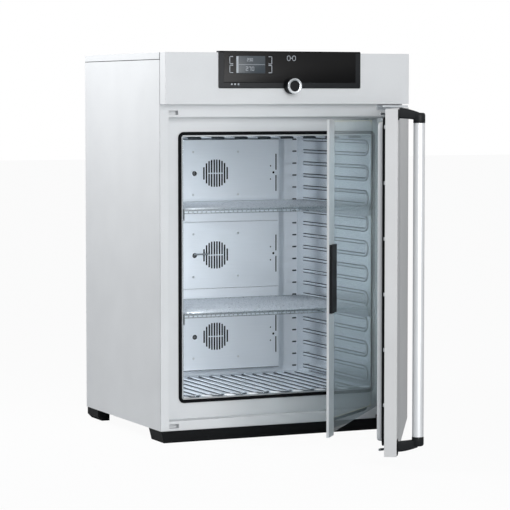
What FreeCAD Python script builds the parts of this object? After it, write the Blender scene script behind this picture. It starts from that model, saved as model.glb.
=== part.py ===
# Laboratory incubator: a cooled and heated cabinet with a stainless chamber,
# an inner glass door and an insulated outer door, shown with both doors standing open.
# Frame: millimetres, +Z up, +X to the right seen from the front, +Y into the cabinet.
# The origin is on the floor, under the middle of the cabinet's front face.
import FreeCAD, Part
import os
import re

import Sketcher

SIZES = {
    # outer housing
    "housing_width": 824,
    "housing_depth": 640,
    "housing_height": 1183,
    "housing_skin": 1,
    "foot_height": 35.6,
    "foot_taper": 9,
    "foot_heel": 14,
    "rear_foot_width": 40,
    "front_foot_depth": 98,
    "rear_foot_depth": 95,
    "rear_foot_gap": 9,
    "foot_proud": 3,
    "lid_height": 21.3,
    "lid_seam": 2,
    "flange_width": 12,
    "seam_gap": 2,
    "lid_gap": 6,
    # head that carries the controls
    "head_reach": 44.3,
    "head_height": 156,
    "head_sheet": 1.5,
    # front face with the sunk tray that the glass door closes into
    "frame_sheet": 1.5,
    "tray_rim": 28,
    "tray_low": 65,
    "tray_top_gap": 27.5,
    "tray_depth": 45,
    # working chamber
    "wall_depth": 92,
    "chamber_top_gap": 60,
    "chamber_depth": 500,
    "chamber_low": 128,
    "chamber_front": 40,
    "chamber_sheet": 1,
    "gasket_margin": 4.5,
    "gasket_width": 10.5,
    "gasket_depth": 9,
    "gasket_corner": 18,
    # pressed ribs of the chamber walls
    "rib_radius": 4.5,
    "side_ribs": 10,
    "floor_end_gap": 16,
    "floor_ribs": 8,
    "rib_front_gap": 18,
    "rib_rear_gap": 16,
    # sheet panels that hide the air duct at the back of the chamber
    "duct_depth": 30,
    "panel_side_gap": 83,
    "split_share": 0.1375,
    "panel_end_gap": 20,
    "panel_seam": 1.2,
    # one air module, repeated up the back wall
    "module_x": 7,
    "module_share": 0.3375,
    "grille_radius": 46.5,
    "grille_cap": 45,
    "grille_bar": 3,
    "slot_pitch": 9.3,
    "slot_width": 5.6,
    "probe_x": 75.5,
    "probe_hole": 8,
    "probe_rod": 2.5,
    "probe_length": 52,
    "screw_x": 80.7,
    "screw_z": 70.5,
    "screw_head": 3.5,
    "screw_shank": 1.9,
    "screw_rise": 1.6,
    "vent_inset": 10,
    "vent_reach": 62,
    "vent_break": 9,
    "vent_width": 4.5,
    "dot_inset": 20,
    "dot_rise": 22,
    "dot_radius": 2.5,
    "pilot_inset": 9.5,
    "pilot_radius": 4,
    # fans and thermoelectric blocks
    "fan_radius": 41,
    "fan_depth": 14,
    "fan_hub": 13,
    "fan_blades": 7,
    "blade_sheet": 1.6,
    "motor_radius": 27,
    "motor_depth": 42,
    "shaft_radius": 2.5,
    "run_gap": 0.05,
    "fan_gap": 6,
    "block_x": 140,
    "block_size": 60,
    "sink_size": 110,
    "sink_base": 6,
    "cold_fin": 15,
    "warm_fin": 34,
    "fin_sheet": 1.5,
    "fin_pitch": 7,
    "element_sheet": 4,
    "cover_width": 420,
    "cover_height": 230,
    "cover_depth": 90,
    "rear_fan_radius": 54,
    "rear_opening": 58,
    "rear_fan_depth": 15,
    "rear_fan_gap": 16,
    "rear_hub_depth": 14,
    "cover_vents": 12,
    "cover_vent_start": 25,
    "cover_vent_pitch": 12,
    "cover_vent_width": 6,
    "cover_vent_reach": 70,
    # shelves
    "shelf_side_gap": 5,
    "shelf_front_gap": 5,
    "shelf_rear_gap": 4,
    "shelf_bar": 6,
    "shelf_under_rib": 1.5,
    "shelf_drop": 8,
    "shelf_foot": 3,
    "shelf_rail": 2,
    "shelf_wire": 1.6,
    "shelf_wires": 20,
    "wire_end_gap": 9,
    "upper_shelf_rib": 14,
    "lower_shelf_rib": 6,
    # outer door, sized as if closed
    "door_low": 35,
    "door_head_gap": 11.5,
    "door_thick": 35.3,
    "door_hinge_gap": 6,
    "door_skin": 1.2,
    "lining_sheet": 1.5,
    "plug_depth": 22.5,
    "plug_margin": 34,
    "plug_low": 72,
    "plug_top_gap": 10,
    "plug_bevel": 6,
    "seal_depth": 8.7,
    "seal_width": 14,
    "free_edge_duct": 62,
    "hinge_inset": 12,
    "door_hinge_y": -25,
    "door_open": 59.5,
    "hinge_plate": 6,
    "hinge_gap": 1.5,
    "hinge_pin": 4,
    "hinge_reach": 26,
    "hinge_span": 90,
    "hinge_flange": 4,
    "hinge_lip": 14,
    "hinge_flange_rise": 11,
    "hinge_block": 21,
    "hinge_block_back": 13,
    "hinge_block_end": 4,
    # latch and handle, sized as if the door is closed
    "latch_inset": 20,
    "latch_y": -27,
    "latch_rod": 5,
    "latch_top_gap": 14,
    "latch_low": 49.5,
    "hook_sheet": 6,
    "tongue_sheet": 6,
    "keeper_inset": 28,
    "keeper_width": 31,
    "keeper_height": 13,
    "keeper_depth": 20,
    "handle_reach": 59,
    "handle_radius": 16.2,
    "handle_wall": 2,
    "bar_top_gap": 38.5,
    "bar_low": 91,
    "arm_width": 22,
    "arm_rise": 3.5,
    "arm_low": 48,
    "arm_tall": 30,
    "arm_drop": 14,
    "base_sheet": 3,
    "base_width": 45,
    "base_height": 44,
    "slot_left": 7.5,
    "slot_right": 21,
    "handle_swing": 30,
    "swing_gap": 0.3,
    # inner glass door, sized as if closed
    "glass_hinge_inset": 40,
    "glass_hinge_y": 20,
    "glass_open": 50.1,
    "glass_reach": 6,
    "glass_low": 80,
    "glass_top_gap": 5,
    "glass_sheet": 4,
    "edge_low": 72,
    "edge_top_gap": 4,
    "edge_strip": 62,
    "edge_cap": 3,
    "edge_sheet": 2,
    "clamp_width": 26,
    "clamp_height": 28,
    "glass_pin": 3,
    "grip_low": 430,
    "grip_height": 197,
    "grip_depth": 8,
    # control panel
    "bezel_width": 480,
    "bezel_height": 108,
    "bezel_sheet": 3.7,
    "bezel_rise": 5,
    "bezel_wrap": 16,
    "glass_inset": 17,
    "screen_left": -180,
    "screen_width": 103,
    "screen_drop": 4,
    "screen_height": 62,
    "knob_drop": 101,
    "knob_radius": 24,
    "knob_depth": 31,
    "knob_gap": 1,
    "cap_radius": 15.5,
    "cap_proud": 1.5,
    "cap_travel": 1.5,
    "board_gap": 22,
    "board_sheet": 1.6,
    "board_height": 100,
    "board_drop": 33,
    "encoder_size": 14,
    # electronics bay above the chamber
    "bay_rise": 24,
    "supply_width": 200,
    "supply_depth": 180,
    "supply_height": 62,
    "socket_x": 230,
    "socket_drop": 93,
    "socket_half": 24,
    "socket_rise": 14,
    "socket_depth": 26,
    "socket_side_lip": 8,
    "socket_top_lip": 4,
    "inlet_left": 21,
    "inlet_right": 3,
    "inlet_rise": 9,
    "inlet_depth": 18,
    "jack_left": 8,
    "jack_right": 20,
    "jack_rise": 6,
    "jack_depth": 12,
}

# Sizes that follow from others, each as a formula on the sheet's names.
DERIVED = {
    "chamber_width": "housing_width - 2 * wall_depth",
    "panel_width": "chamber_width - 2 * panel_side_gap",
    "plug_width": "housing_width - 2 * plug_margin",
    "door_hinge_x": "housing_width / 2 - hinge_inset",
    "glass_hinge_x": "housing_width / 2 - glass_hinge_inset",
    "glass_width": "2 * glass_hinge_x + glass_reach",
    "latch_x": "latch_inset - housing_width / 2",
    "keeper_left": "housing_width / 2 - keeper_inset",
    "keeper_right": "keeper_left - keeper_width",
    "floor_pitch": "(chamber_width - floor_end_gap) / (2 * floor_ribs)",
    "wire_pitch": "(chamber_width / 2 - shelf_side_gap - shelf_bar - wire_end_gap) / shelf_wires",
    "head_bottom": "housing_height - head_height",
    "door_high": "head_bottom - door_head_gap",
    "tray_high": "door_high - tray_top_gap",
    "chamber_height": "tray_high - chamber_top_gap - chamber_low",
    "rib_pitch": "chamber_height / (2 * side_ribs)",
    "module_pitch": "chamber_height * module_share",
    "panel_split": "chamber_height * split_share",
    "plug_high": "tray_high - plug_top_gap",
    "latch_high": "door_high - latch_top_gap",
    "bar_high": "door_high - bar_top_gap",
    "arm_high": "door_high + arm_rise",
    "glass_high": "tray_high - glass_top_gap",
    "edge_high": "tray_high - edge_top_gap",
    "bay_floor": "tray_high + bay_rise",
    "bezel_low": "housing_height - bezel_height",
    "screen_high": "housing_height - screen_drop",
    "screen_low": "screen_high - screen_height",
    "knob_z": "housing_height - knob_drop",
    "board_high": "housing_height - board_drop",
    "board_low": "board_high - board_height",
    "socket_z": "housing_height - socket_drop",
    "grip_high": "grip_low + grip_height",
    "screen_right": "screen_left + screen_width",
}

AXES = {
    "x": FreeCAD.Rotation(FreeCAD.Vector(0, 1, 0), 90),
    "y": FreeCAD.Rotation(FreeCAD.Vector(1, 0, 0), -90),
    "z": FreeCAD.Rotation(),
}
PLANES = {"x": "YZ_Plane", "y": "XZ_Plane", "z": "XY_Plane"}

doc = FreeCAD.newDocument("incubator")
sheet = doc.addObject("Spreadsheet::Sheet", "Sizes")
for line, (alias, value) in enumerate(SIZES.items(), start=1):
    sheet.set(f"A{line}", alias)
    sheet.set(f"B{line}", str(value))
    sheet.setAlias(f"B{line}", alias)
doc.recompute()

nodes = {}


def bound(formula):
    """Turn a formula written with the sheet's names into an expression on the sheet."""
    return re.sub(r"[a-z_]+", lambda word: cell(word.group(0)), str(formula))


def cell(word):
    """A size's name gains the sheet's name, a derived one becomes its formula, other words stay."""
    if word in DERIVED:
        return f"({bound(DERIVED[word])})"
    return f"Sizes.{word}" if word in SIZES else word


def add(kind, name):
    """Add one object of a kind to the document."""
    return doc.addObject(kind, name)


def move(item, place):
    """Bind an object's position to three formulas."""
    for side, formula in zip("xyz", place):
        item.setExpression(f"Placement.Base.{side}", bound(formula))


def box(name, x, y, z):
    """A box between pairs of faces: x, y and z each hold a low and a high formula."""
    item = add("Part::Box", name)
    for side, (low, high) in zip(("Length", "Width", "Height"), (x, y, z)):
        item.setExpression(side, bound(f"({high}) - ({low})"))
    move(item, (x[0], y[0], z[0]))
    return item


def rod(name, axis, centre, radius, span):
    """A cylinder along x, y or z, with its centre line at the two other coordinates."""
    item = add("Part::Cylinder", name)
    item.setExpression("Radius", bound(radius))
    item.setExpression("Height", bound(f"({span[1]}) - ({span[0]})"))
    item.Placement = FreeCAD.Placement(FreeCAD.Vector(), AXES[axis])
    place = list(centre)
    place.insert("xyz".index(axis), span[0])
    move(item, place)
    return item


def group(name, items):
    """Several separate solids held as one object."""
    item = add("Part::Compound", name)
    item.Links = items
    return item


def fuse(name, items):
    """Join touching or overlapping solids into one."""
    item = add("Part::MultiFuse", name)
    item.Shapes = items
    item.Refine = True
    return item


def cut(name, base, tools):
    """Take tools, which don't overlap each other, away from a base."""
    item = add("Part::Cut", name)
    item.Base = base
    item.Tool = tools[0] if len(tools) == 1 else group(name + "_tools", tools)
    return item


def mirror(name, source):
    """The same piece on the other side of the middle plane."""
    item = add("Part::Mirroring", name)
    item.Source = source
    item.Normal = (1, 0, 0)
    return item


def round_edges(name, base, axis, radius):
    """Round every straight edge of a piece that runs along one axis."""
    doc.recompute()
    way = AXES[axis].multVec(FreeCAD.Vector(0, 0, 1))
    item = add("Part::Fillet", name)
    item.Base = base
    item.Edges = [
        (number, SIZES[radius], SIZES[radius])
        for number, edge in enumerate(base.Shape.Edges, start=1)
        if edge.Curve.TypeId == "Part::GeomLine" and edge.Curve.Direction.cross(way).Length < 1e-6
    ]
    return item


def plate(name, axis, points, span):
    """A flat plate across x, y or z, padded between two formulas from a drawn outline."""
    body = add("PartDesign::Body", name)
    sketch = body.newObject("Sketcher::SketchObject", name + "_outline")
    plane = [item for item in body.Origin.OriginFeatures if item.Role == PLANES[axis]][0]
    sketch.AttachmentSupport = [(plane, "")]
    sketch.MapMode = "FlatFace"
    start = f"-({span[1]})" if axis == "y" else span[0]
    sketch.setExpression("AttachmentOffset.Base.z", bound(start))
    draw(sketch, points)
    pad = body.newObject("PartDesign::Pad", name + "_pad")
    pad.Profile = sketch
    pad.setExpression("Length", bound(f"({span[1]}) - ({span[0]})"))
    return body


def draw(sketch, points):
    """Draw a closed outline whose corners are pairs of formulas."""
    count = len(points)
    turn = FreeCAD.Rotation(FreeCAD.Vector(0, 0, 1), 360 / count)
    corner = FreeCAD.Vector(100, 0, 0)
    for _ in points:
        following = turn.multVec(corner)
        sketch.addGeometry(Part.LineSegment(corner, following))
        corner = following
    for number in range(count):
        sketch.addConstraint(Sketcher.Constraint("Coincident", number, 2, (number + 1) % count, 1))
    for number, point in enumerate(points):
        for side, formula in zip(("DistanceX", "DistanceY"), point):
            index = sketch.addConstraint(Sketcher.Constraint(side, -1, 1, number, 1, 1.0))
            sketch.setExpression(f"Constraints[{index}]", bound(formula))


def hinged(item, angle, x, y):
    """Swing a piece that was drawn closed about its upright hinge line."""
    turn = f"rotation(vector(0; 0; 1); {angle})"
    item.setExpression("Placement", bound(f"placement(vector(0; 0; 0); {turn}; vector({x}; {y}; 0))"))


def node(name, item):
    """Name a finished sub-part."""
    item.Label = name
    nodes[name] = item
    return item


def on_door(name, item):
    """Name a sub-part that rides on the open outer door."""
    if item.TypeId != "PartDesign::Body":
        item = group(name + "_hung", [item])
    hinged(item, "door_open", "door_hinge_x", "door_hinge_y")
    return node(name, item)


def on_glass_door(name, item):
    """Name a sub-part that rides on the open glass door."""
    if item.TypeId != "PartDesign::Body":
        item = group(name + "_hung", [item])
    hinged(item, "glass_open", "glass_hinge_x", "glass_hinge_y")
    return node(name, item)


def both(half, shrink="0"):
    """A pair of faces the same distance left and right of the middle plane."""
    return (f"-({half}) + ({shrink})", f"({half}) - ({shrink})")


SIDE = "housing_width / 2"
LID = "housing_height - lid_height"
TRAY = "housing_width / 2 - tray_rim"
WALL = "chamber_width / 2"
CHAMBER_TOP = "chamber_low + chamber_height"
CHAMBER_MID = "chamber_low + chamber_height / 2"
CHAMBER_BACK = "chamber_front + chamber_depth"
DUCT_BACK = "chamber_front + chamber_depth + duct_depth"
WALL_BACK = "chamber_front + chamber_depth + duct_depth + chamber_sheet"
MODULES = {"upper": 1, "middle": 0, "lower": -1}


def module_z(step):
    """Height of one air module's centre."""
    return f"{CHAMBER_MID} + {step} * module_pitch"


def housing():
    """Side panels, lid, back, floor plate, front foot bar and rear feet."""
    skin = box("side_sheet", (f"-{SIDE}", f"-{SIDE} + housing_skin"),
               ("frame_sheet + seam_gap", "housing_depth"), ("foot_height", f"{LID} - lid_seam / 2"))
    step = box("side_step", (f"-{SIDE}", f"-{SIDE} + flange_width"),
               ("frame_sheet + seam_gap", "housing_depth - housing_skin"),
               (f"{LID} - lid_seam / 2 - housing_skin", f"{LID} - lid_seam / 2"))
    lip = box("side_lip", (f"-{SIDE} + flange_width - housing_skin", f"-{SIDE} + flange_width"),
              ("lid_gap + housing_skin", "housing_depth - housing_skin"),
              (f"{LID} - lid_seam / 2 - housing_skin", "housing_height - housing_skin"))
    left = node("left_side_panel", fuse("left_side_panel", [skin, step, lip]))
    node("right_side_panel", mirror("right_side_panel", left))

    shell = box("lid_shell", both(SIDE), ("lid_gap", "housing_depth"),
                (f"{LID} + lid_seam / 2", "housing_height"))
    inside = box("lid_inside", both(SIDE, "housing_skin"),
                 ("lid_gap + housing_skin", "housing_depth - housing_skin"),
                 (LID, "housing_height - housing_skin"))
    node("top_cover", cut("top_cover", shell, [inside]))

    back = box("back_sheet", both(SIDE, "housing_skin"),
               ("housing_depth - housing_skin", "housing_depth"), ("foot_height", LID))
    windows = [
        box(f"back_window_{name}", ("block_x - sink_size / 2", "block_x + sink_size / 2"),
            ("housing_depth - 2 * housing_skin", "housing_depth + housing_skin"),
            (f"{module_z(step)} - sink_size / 2", f"{module_z(step)} + sink_size / 2"))
        for name, step in MODULES.items()
    ]
    windows.append(box("socket_window", both_at("socket_x", "socket_half"),
                       ("housing_depth - 2 * housing_skin", "housing_depth + housing_skin"),
                       both_at("socket_z", "socket_rise")))
    node("rear_panel", cut("rear_panel", back, windows))
    node("base_plate", box("base_plate", both(SIDE, "housing_skin"),
                           ("frame_sheet", "housing_depth - housing_skin"),
                           ("foot_height", "foot_height + housing_skin")))
    bar = [(f"-{SIDE}", "foot_height"), (f"-{SIDE} + foot_taper", "0"),
           (f"{SIDE} - foot_taper", "0"), (SIDE, "foot_height")]
    node("front_foot_bar", plate("front_foot_bar", "y", bar, ("-foot_proud", "front_foot_depth")))
    sole = f"-{SIDE} + rear_foot_width"
    heel = [(f"-{SIDE}", "foot_height"), (f"-{SIDE}", "foot_heel"), (f"-{SIDE} + foot_heel", "0"),
            (sole, "0"), (sole, "foot_height")]
    left_foot = plate("left_rear_foot", "y", heel, ("housing_depth - rear_foot_gap - rear_foot_depth",
                                                    "housing_depth - rear_foot_gap"))
    node("rear_feet", group("rear_feet", [left_foot, mirror("right_rear_foot", left_foot)]))


def front():
    """Front face, its sunk tray, the latch pockets and the chamber's bulb gasket."""
    face = box("face_sheet", both(SIDE), ("0", "frame_sheet"), ("foot_height", "head_bottom"))
    tub = box("tray_outside", both(TRAY, "-frame_sheet"), ("0", "tray_depth + frame_sheet"),
              ("tray_low - frame_sheet", "tray_high + frame_sheet"))
    hollow = box("tray_inside", both(TRAY), ("-1", "tray_depth"), ("tray_low", "tray_high"))
    mouth = box("tray_mouth", both(f"{WALL} + chamber_sheet"), ("0", "tray_depth + 2 * frame_sheet"),
                ("chamber_low - chamber_sheet", f"{CHAMBER_TOP} + chamber_sheet"))
    openings = fuse("front_openings", [hollow, mouth])
    pockets = [keeper_mouth(name, height) for name, height in latch_heights()]
    sockets = [rod(f"pin_socket_{name}_{side}", "z", (f"{side}glass_hinge_x", "glass_hinge_y"),
                   "glass_pin + run_gap", span)
               for side in ("", "-")
               for name, span in (("top", ("tray_high - 1", "tray_high + 2 * frame_sheet")),
                                  ("foot", ("tray_low - 2 * frame_sheet", "tray_low + 1")))]
    sheet_metal = fuse("front_sheet_metal", [face, tub])
    node("front_frame", cut("front_frame", sheet_metal, [openings] + pockets + sockets))

    keepers = []
    for name, height in latch_heights():
        tall = (f"{height} - keeper_height / 2", f"{height} + keeper_height / 2")
        block = box(f"keeper_block_{name}", ("-keeper_left - keeper_depth", "-keeper_right + 3"),
                    ("frame_sheet", "frame_sheet + keeper_depth"), (f"{tall[0]} - 2", f"{tall[1]} + 2"))
        room = box(f"keeper_room_{name}", ("-keeper_left - keeper_depth + 2", "-keeper_right + 1"),
                   ("0", "frame_sheet + keeper_depth - 2"), tall)
        keepers.append(cut(f"keeper_{name}", block, [room]))
    node("latch_keepers", group("latch_keepers", keepers))

    outer = box("gasket_outside", both(f"{WALL} + gasket_margin + gasket_width"),
                ("tray_depth - gasket_depth", "tray_depth"),
                ("chamber_low - gasket_margin - gasket_width",
                 f"{CHAMBER_TOP} + gasket_margin + gasket_width"))
    inner = box("gasket_inside", both(f"{WALL} + gasket_margin"),
                ("tray_depth - gasket_depth - 1", "tray_depth + 1"),
                ("chamber_low - gasket_margin", f"{CHAMBER_TOP} + gasket_margin"))
    ring = cut("gasket_ring", round_edges("gasket_outer_round", outer, "y", "gasket_corner"),
               [round_edges("gasket_inner_round", inner, "y", "gasket_width")])
    node("chamber_gasket", group("chamber_gasket", [ring]))


def latch_heights():
    """The two heights at which the door latches."""
    return (("upper", "latch_high"), ("lower", "latch_low"))


def keeper_mouth(name, height):
    """The slot in the front face that a hook enters."""
    return box(f"keeper_mouth_{name}", ("-keeper_left", "-keeper_right"), ("-1", "2 * frame_sheet"),
               (f"{height} - keeper_height / 2", f"{height} + keeper_height / 2"))


def hairpin(name, axis, level, centre, span):
    """A pressed rib of half-round section: two legs joined by a bend at the front."""
    front_y, rear_y = span
    turn = {
        "z": FreeCAD.Rotation(FreeCAD.Vector(0, 0, 1), 180),
        "x": FreeCAD.Rotation(FreeCAD.Vector(0, 0, 1), FreeCAD.Vector(0, -1, 0), FreeCAD.Vector(1, 0, 0), "XYZ"),
    }[axis]
    half = "floor_pitch / 2" if axis == "z" else "rib_pitch / 2"
    bend = add("Part::Torus", name + "_bend")
    bend.Angle3 = 180
    bend.setExpression("Radius1", bound(half))
    bend.setExpression("Radius2", bound("rib_radius"))
    bend.Placement = FreeCAD.Placement(FreeCAD.Vector(), turn)
    middle = (level, centre) if axis == "x" else (centre, level)
    move(bend, (middle[0], front_y, middle[1]))
    parts = [bend]
    for side in ("-", "+"):
        edge = f"{centre} {side} {half}"
        line = (level, edge) if axis == "x" else (edge, level)
        parts.append(rod(name + "_leg", "y", line, "rib_radius", (front_y, rear_y)))
        tip = add("Part::Sphere", name + "_tip")
        tip.setExpression("Radius", bound("rib_radius"))
        move(tip, (line[0], rear_y, line[1]))
        parts.append(tip)
    return fuse(name, parts)


def ribbed(name, sheet_box, behind, ribs):
    """A sheet with ribs pressed into it, flat on the side away from the chamber."""
    return cut(name, fuse(name + "_pressing", [sheet_box] + ribs), [behind])


def chamber():
    """The stainless chamber: two ribbed sides, ribbed floor and ceiling, and a back."""
    side = (f"{WALL}", f"{WALL} + chamber_sheet")
    long = ("chamber_front", WALL_BACK)
    tall = ("chamber_low - chamber_sheet", f"{CHAMBER_TOP} + chamber_sheet")
    front_y = "chamber_front + rib_front_gap + rib_pitch / 2 + rib_radius"
    rear_y = f"{CHAMBER_BACK} - rib_rear_gap - rib_radius"

    ribs = [
        hairpin(f"side_rib_{step}", "x", WALL, f"chamber_low + {2 * step + 1} * rib_pitch", (front_y, rear_y))
        for step in range(SIZES["side_ribs"])
    ]
    right_sheet = box("right_wall_sheet", side, long, tall)
    behind = box("behind_right_wall", (side[1], f"{side[1]} + 2 * rib_radius"),
                 ("0", "housing_depth"), ("0", "housing_height"))
    right = node("chamber_right_wall", ribbed("chamber_right_wall", right_sheet, behind, ribs))
    node("chamber_left_wall", mirror("chamber_left_wall", right))

    ribs = [
        hairpin(f"floor_rib_{step}", "z", "chamber_low",
                f"({step} - (floor_ribs - 1) / 2) * 2 * floor_pitch", (front_y, rear_y))
        for step in range(SIZES["floor_ribs"])
    ]
    flat = box("floor_sheet", both(WALL), long, ("chamber_low - chamber_sheet", "chamber_low"))
    below = box("below_floor", both("chamber_width"), ("0", "housing_depth"),
                ("chamber_low - 3 * rib_radius", "chamber_low - chamber_sheet"))
    floor = node("chamber_floor", ribbed("chamber_floor", flat, below, ribs))
    ceiling = node("chamber_ceiling", mirror("chamber_ceiling", floor))
    ceiling.Normal = (0, 0, 1)
    ceiling.setExpression("Base.z", bound(CHAMBER_MID))

    wall = box("back_wall_sheet", both(WALL), (DUCT_BACK, WALL_BACK), ("chamber_low", CHAMBER_TOP))
    holes = []
    for name, step in MODULES.items():
        middle = module_z(step)
        holes.append(box(f"block_hole_{name}", ("block_x - block_size / 2", "block_x + block_size / 2"),
                         (f"{DUCT_BACK} - 1", f"{WALL_BACK} + 1"),
                         (f"{middle} - block_size / 2", f"{middle} + block_size / 2")))
        holes.append(rod(f"shaft_hole_{name}", "y", ("module_x", middle), "2 * shaft_radius",
                         (f"{DUCT_BACK} - 1", f"{WALL_BACK} + 1")))
    node("chamber_back_wall", cut("chamber_back_wall", wall, holes))


def air_panels():
    """Three removable panels before the air duct, each with a fan grille and air slots."""
    spans = {
        "upper": (f"{CHAMBER_MID} + panel_split + panel_seam / 2", f"{CHAMBER_TOP} - panel_end_gap"),
        "middle": (f"{CHAMBER_MID} - panel_split + panel_seam / 2",
                   f"{CHAMBER_MID} + panel_split - panel_seam / 2"),
        "lower": ("chamber_low + panel_end_gap", f"{CHAMBER_MID} - panel_split - panel_seam / 2"),
    }
    depth = (f"{CHAMBER_BACK} - 1", f"{CHAMBER_BACK} + 2 * chamber_sheet")
    screws = []
    for name, step in MODULES.items():
        middle = module_z(step)
        shell = box(f"{name}_panel_shell", both("panel_width / 2"), (CHAMBER_BACK, DUCT_BACK), spans[name])
        low, high = spans[name]
        low = low if name != "lower" else f"{low} + chamber_sheet"
        high = high if name != "upper" else f"{high} - chamber_sheet"
        reach = (low if name == "lower" else f"{low} - 1", high if name == "upper" else f"{high} + 1")
        hollow = box(f"{name}_panel_hollow", both("panel_width / 2", "chamber_sheet"),
                     (f"{CHAMBER_BACK} + chamber_sheet", f"{DUCT_BACK} + 1"), reach)
        cuts = [hollow] + grille(name, middle, depth)
        vent = "panel_width / 2 - vent_inset"
        for side in ("-", "+"):
            near = f"{middle} {side} vent_break"
            far = f"{middle} {side} vent_reach"
            ends = (far, near) if side == "-" else (near, far)
            cuts.append(box(f"{name}_vent", (f"{vent} - vent_width / 2", f"{vent} + vent_width / 2"),
                            depth, ends))
            cuts.append(rod(f"{name}_dot", "y", (f"{vent} - dot_inset", f"{middle} {side} dot_rise"), "dot_radius", depth))
        cuts.append(rod(f"{name}_pilot", "y", (f"{vent} - pilot_inset", middle), "pilot_radius", depth))
        cuts.append(rod(f"{name}_probe_hole", "y", ("module_x - probe_x", middle), "probe_hole", depth))
        for across in ("-", "+"):
            for up in ("-", "+"):
                place = (f"module_x {across} screw_x", f"{middle} {up} screw_z")
                cuts.append(rod(f"{name}_screw_hole", "y", place, "screw_shank", depth))
                head = rod(f"{name}_screw_head", "y", place, "screw_head",
                           (f"{CHAMBER_BACK} - screw_rise", CHAMBER_BACK))
                shank = rod(f"{name}_screw_shank", "y", place, "screw_shank", (CHAMBER_BACK, DUCT_BACK))
                screws.append(fuse(f"{name}_screw", [head, shank]))
        node(f"{name}_air_panel", cut(f"{name}_air_panel", shell, cuts))
    node("air_panel_screws", group("air_panel_screws", screws))

    middle = module_z(0)
    bulb = ("module_x - probe_x - 2 * probe_rod", "module_x - probe_x + probe_length")
    level = f"{middle} + probe_hole / 2"
    tip = rod("probe_tip", "x", (f"{CHAMBER_BACK} - 2 * probe_rod - 2", level), "probe_rod", bulb)
    stem = rod("probe_stem", "y", ("module_x - probe_x", level), "probe_rod",
               (f"{CHAMBER_BACK} - 2 * probe_rod - 2", DUCT_BACK))
    node("temperature_sensor", fuse("temperature_sensor", [tip, stem]))


def grille(name, middle, depth):
    """Ten upright slots that fill a circle, the middle six crossed by a bar."""
    slots = []
    for number in range(5):
        offset = f"({number} + 0.5) * slot_pitch"
        reach = f"min(grille_cap; sqrt(grille_radius ^ 2 - ({offset}) ^ 2))"
        for side in ("-", "+"):
            centre = f"module_x {side} {offset}"
            across = (f"{centre} - slot_width / 2", f"{centre} + slot_width / 2")
            if number > 2:
                slots.append(box(f"{name}_slot", across, depth, (f"{middle} - {reach}", f"{middle} + {reach}")))
                continue
            slots.append(box(f"{name}_slot", across, depth, (f"{middle} - {reach}", f"{middle} - grille_bar / 2")))
            slots.append(box(f"{name}_slot", across, depth, (f"{middle} + grille_bar / 2", f"{middle} + {reach}")))
    return slots


def fan(name, centre, radius, span, shaft_span):
    """A fan wheel: hub, flat angled blades and the shaft that it turns on."""
    hub = rod(f"{name}_hub", "y", centre, "fan_hub", span)
    shaft = rod(f"{name}_shaft", "y", centre, "shaft_radius", shaft_span)
    parts = [hub, shaft]
    for blade in range(SIZES["fan_blades"]):
        vane = add("Part::Box", f"{name}_vane")
        vane.setExpression("Length", bound(f"{radius} - fan_hub / 2"))
        vane.setExpression("Width", bound("blade_sheet"))
        vane.setExpression("Height", bound(f"({span[1]}) - ({span[0]})"))
        pitch = FreeCAD.Rotation(FreeCAD.Vector(1, 0, 0), 35)
        lay = FreeCAD.Rotation(FreeCAD.Vector(1, 0, 0), -90)
        spin = FreeCAD.Rotation(FreeCAD.Vector(0, 1, 0), 360 * blade / SIZES["fan_blades"])
        vane.Placement = FreeCAD.Placement(FreeCAD.Vector(), spin * pitch * lay)
        middle = f"(({span[0]}) + ({span[1]})) / 2"
        start = (spin * pitch * lay).multVec(FreeCAD.Vector(0, 0, 1))
        root = spin.multVec(FreeCAD.Vector(1, 0, 0))
        deep = f"(({span[1]}) - ({span[0]})) / 2"
        move(vane, (f"{centre[0]} + {root.x:.9f} * fan_hub / 2 - {start.x:.9f} * {deep}",
                    f"{middle} - {start.y:.9f} * {deep}",
                    f"{centre[1]} + {root.z:.9f} * fan_hub / 2 - {start.z:.9f} * {deep}"))
        parts.append(vane)
    return fuse(name, parts)


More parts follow.
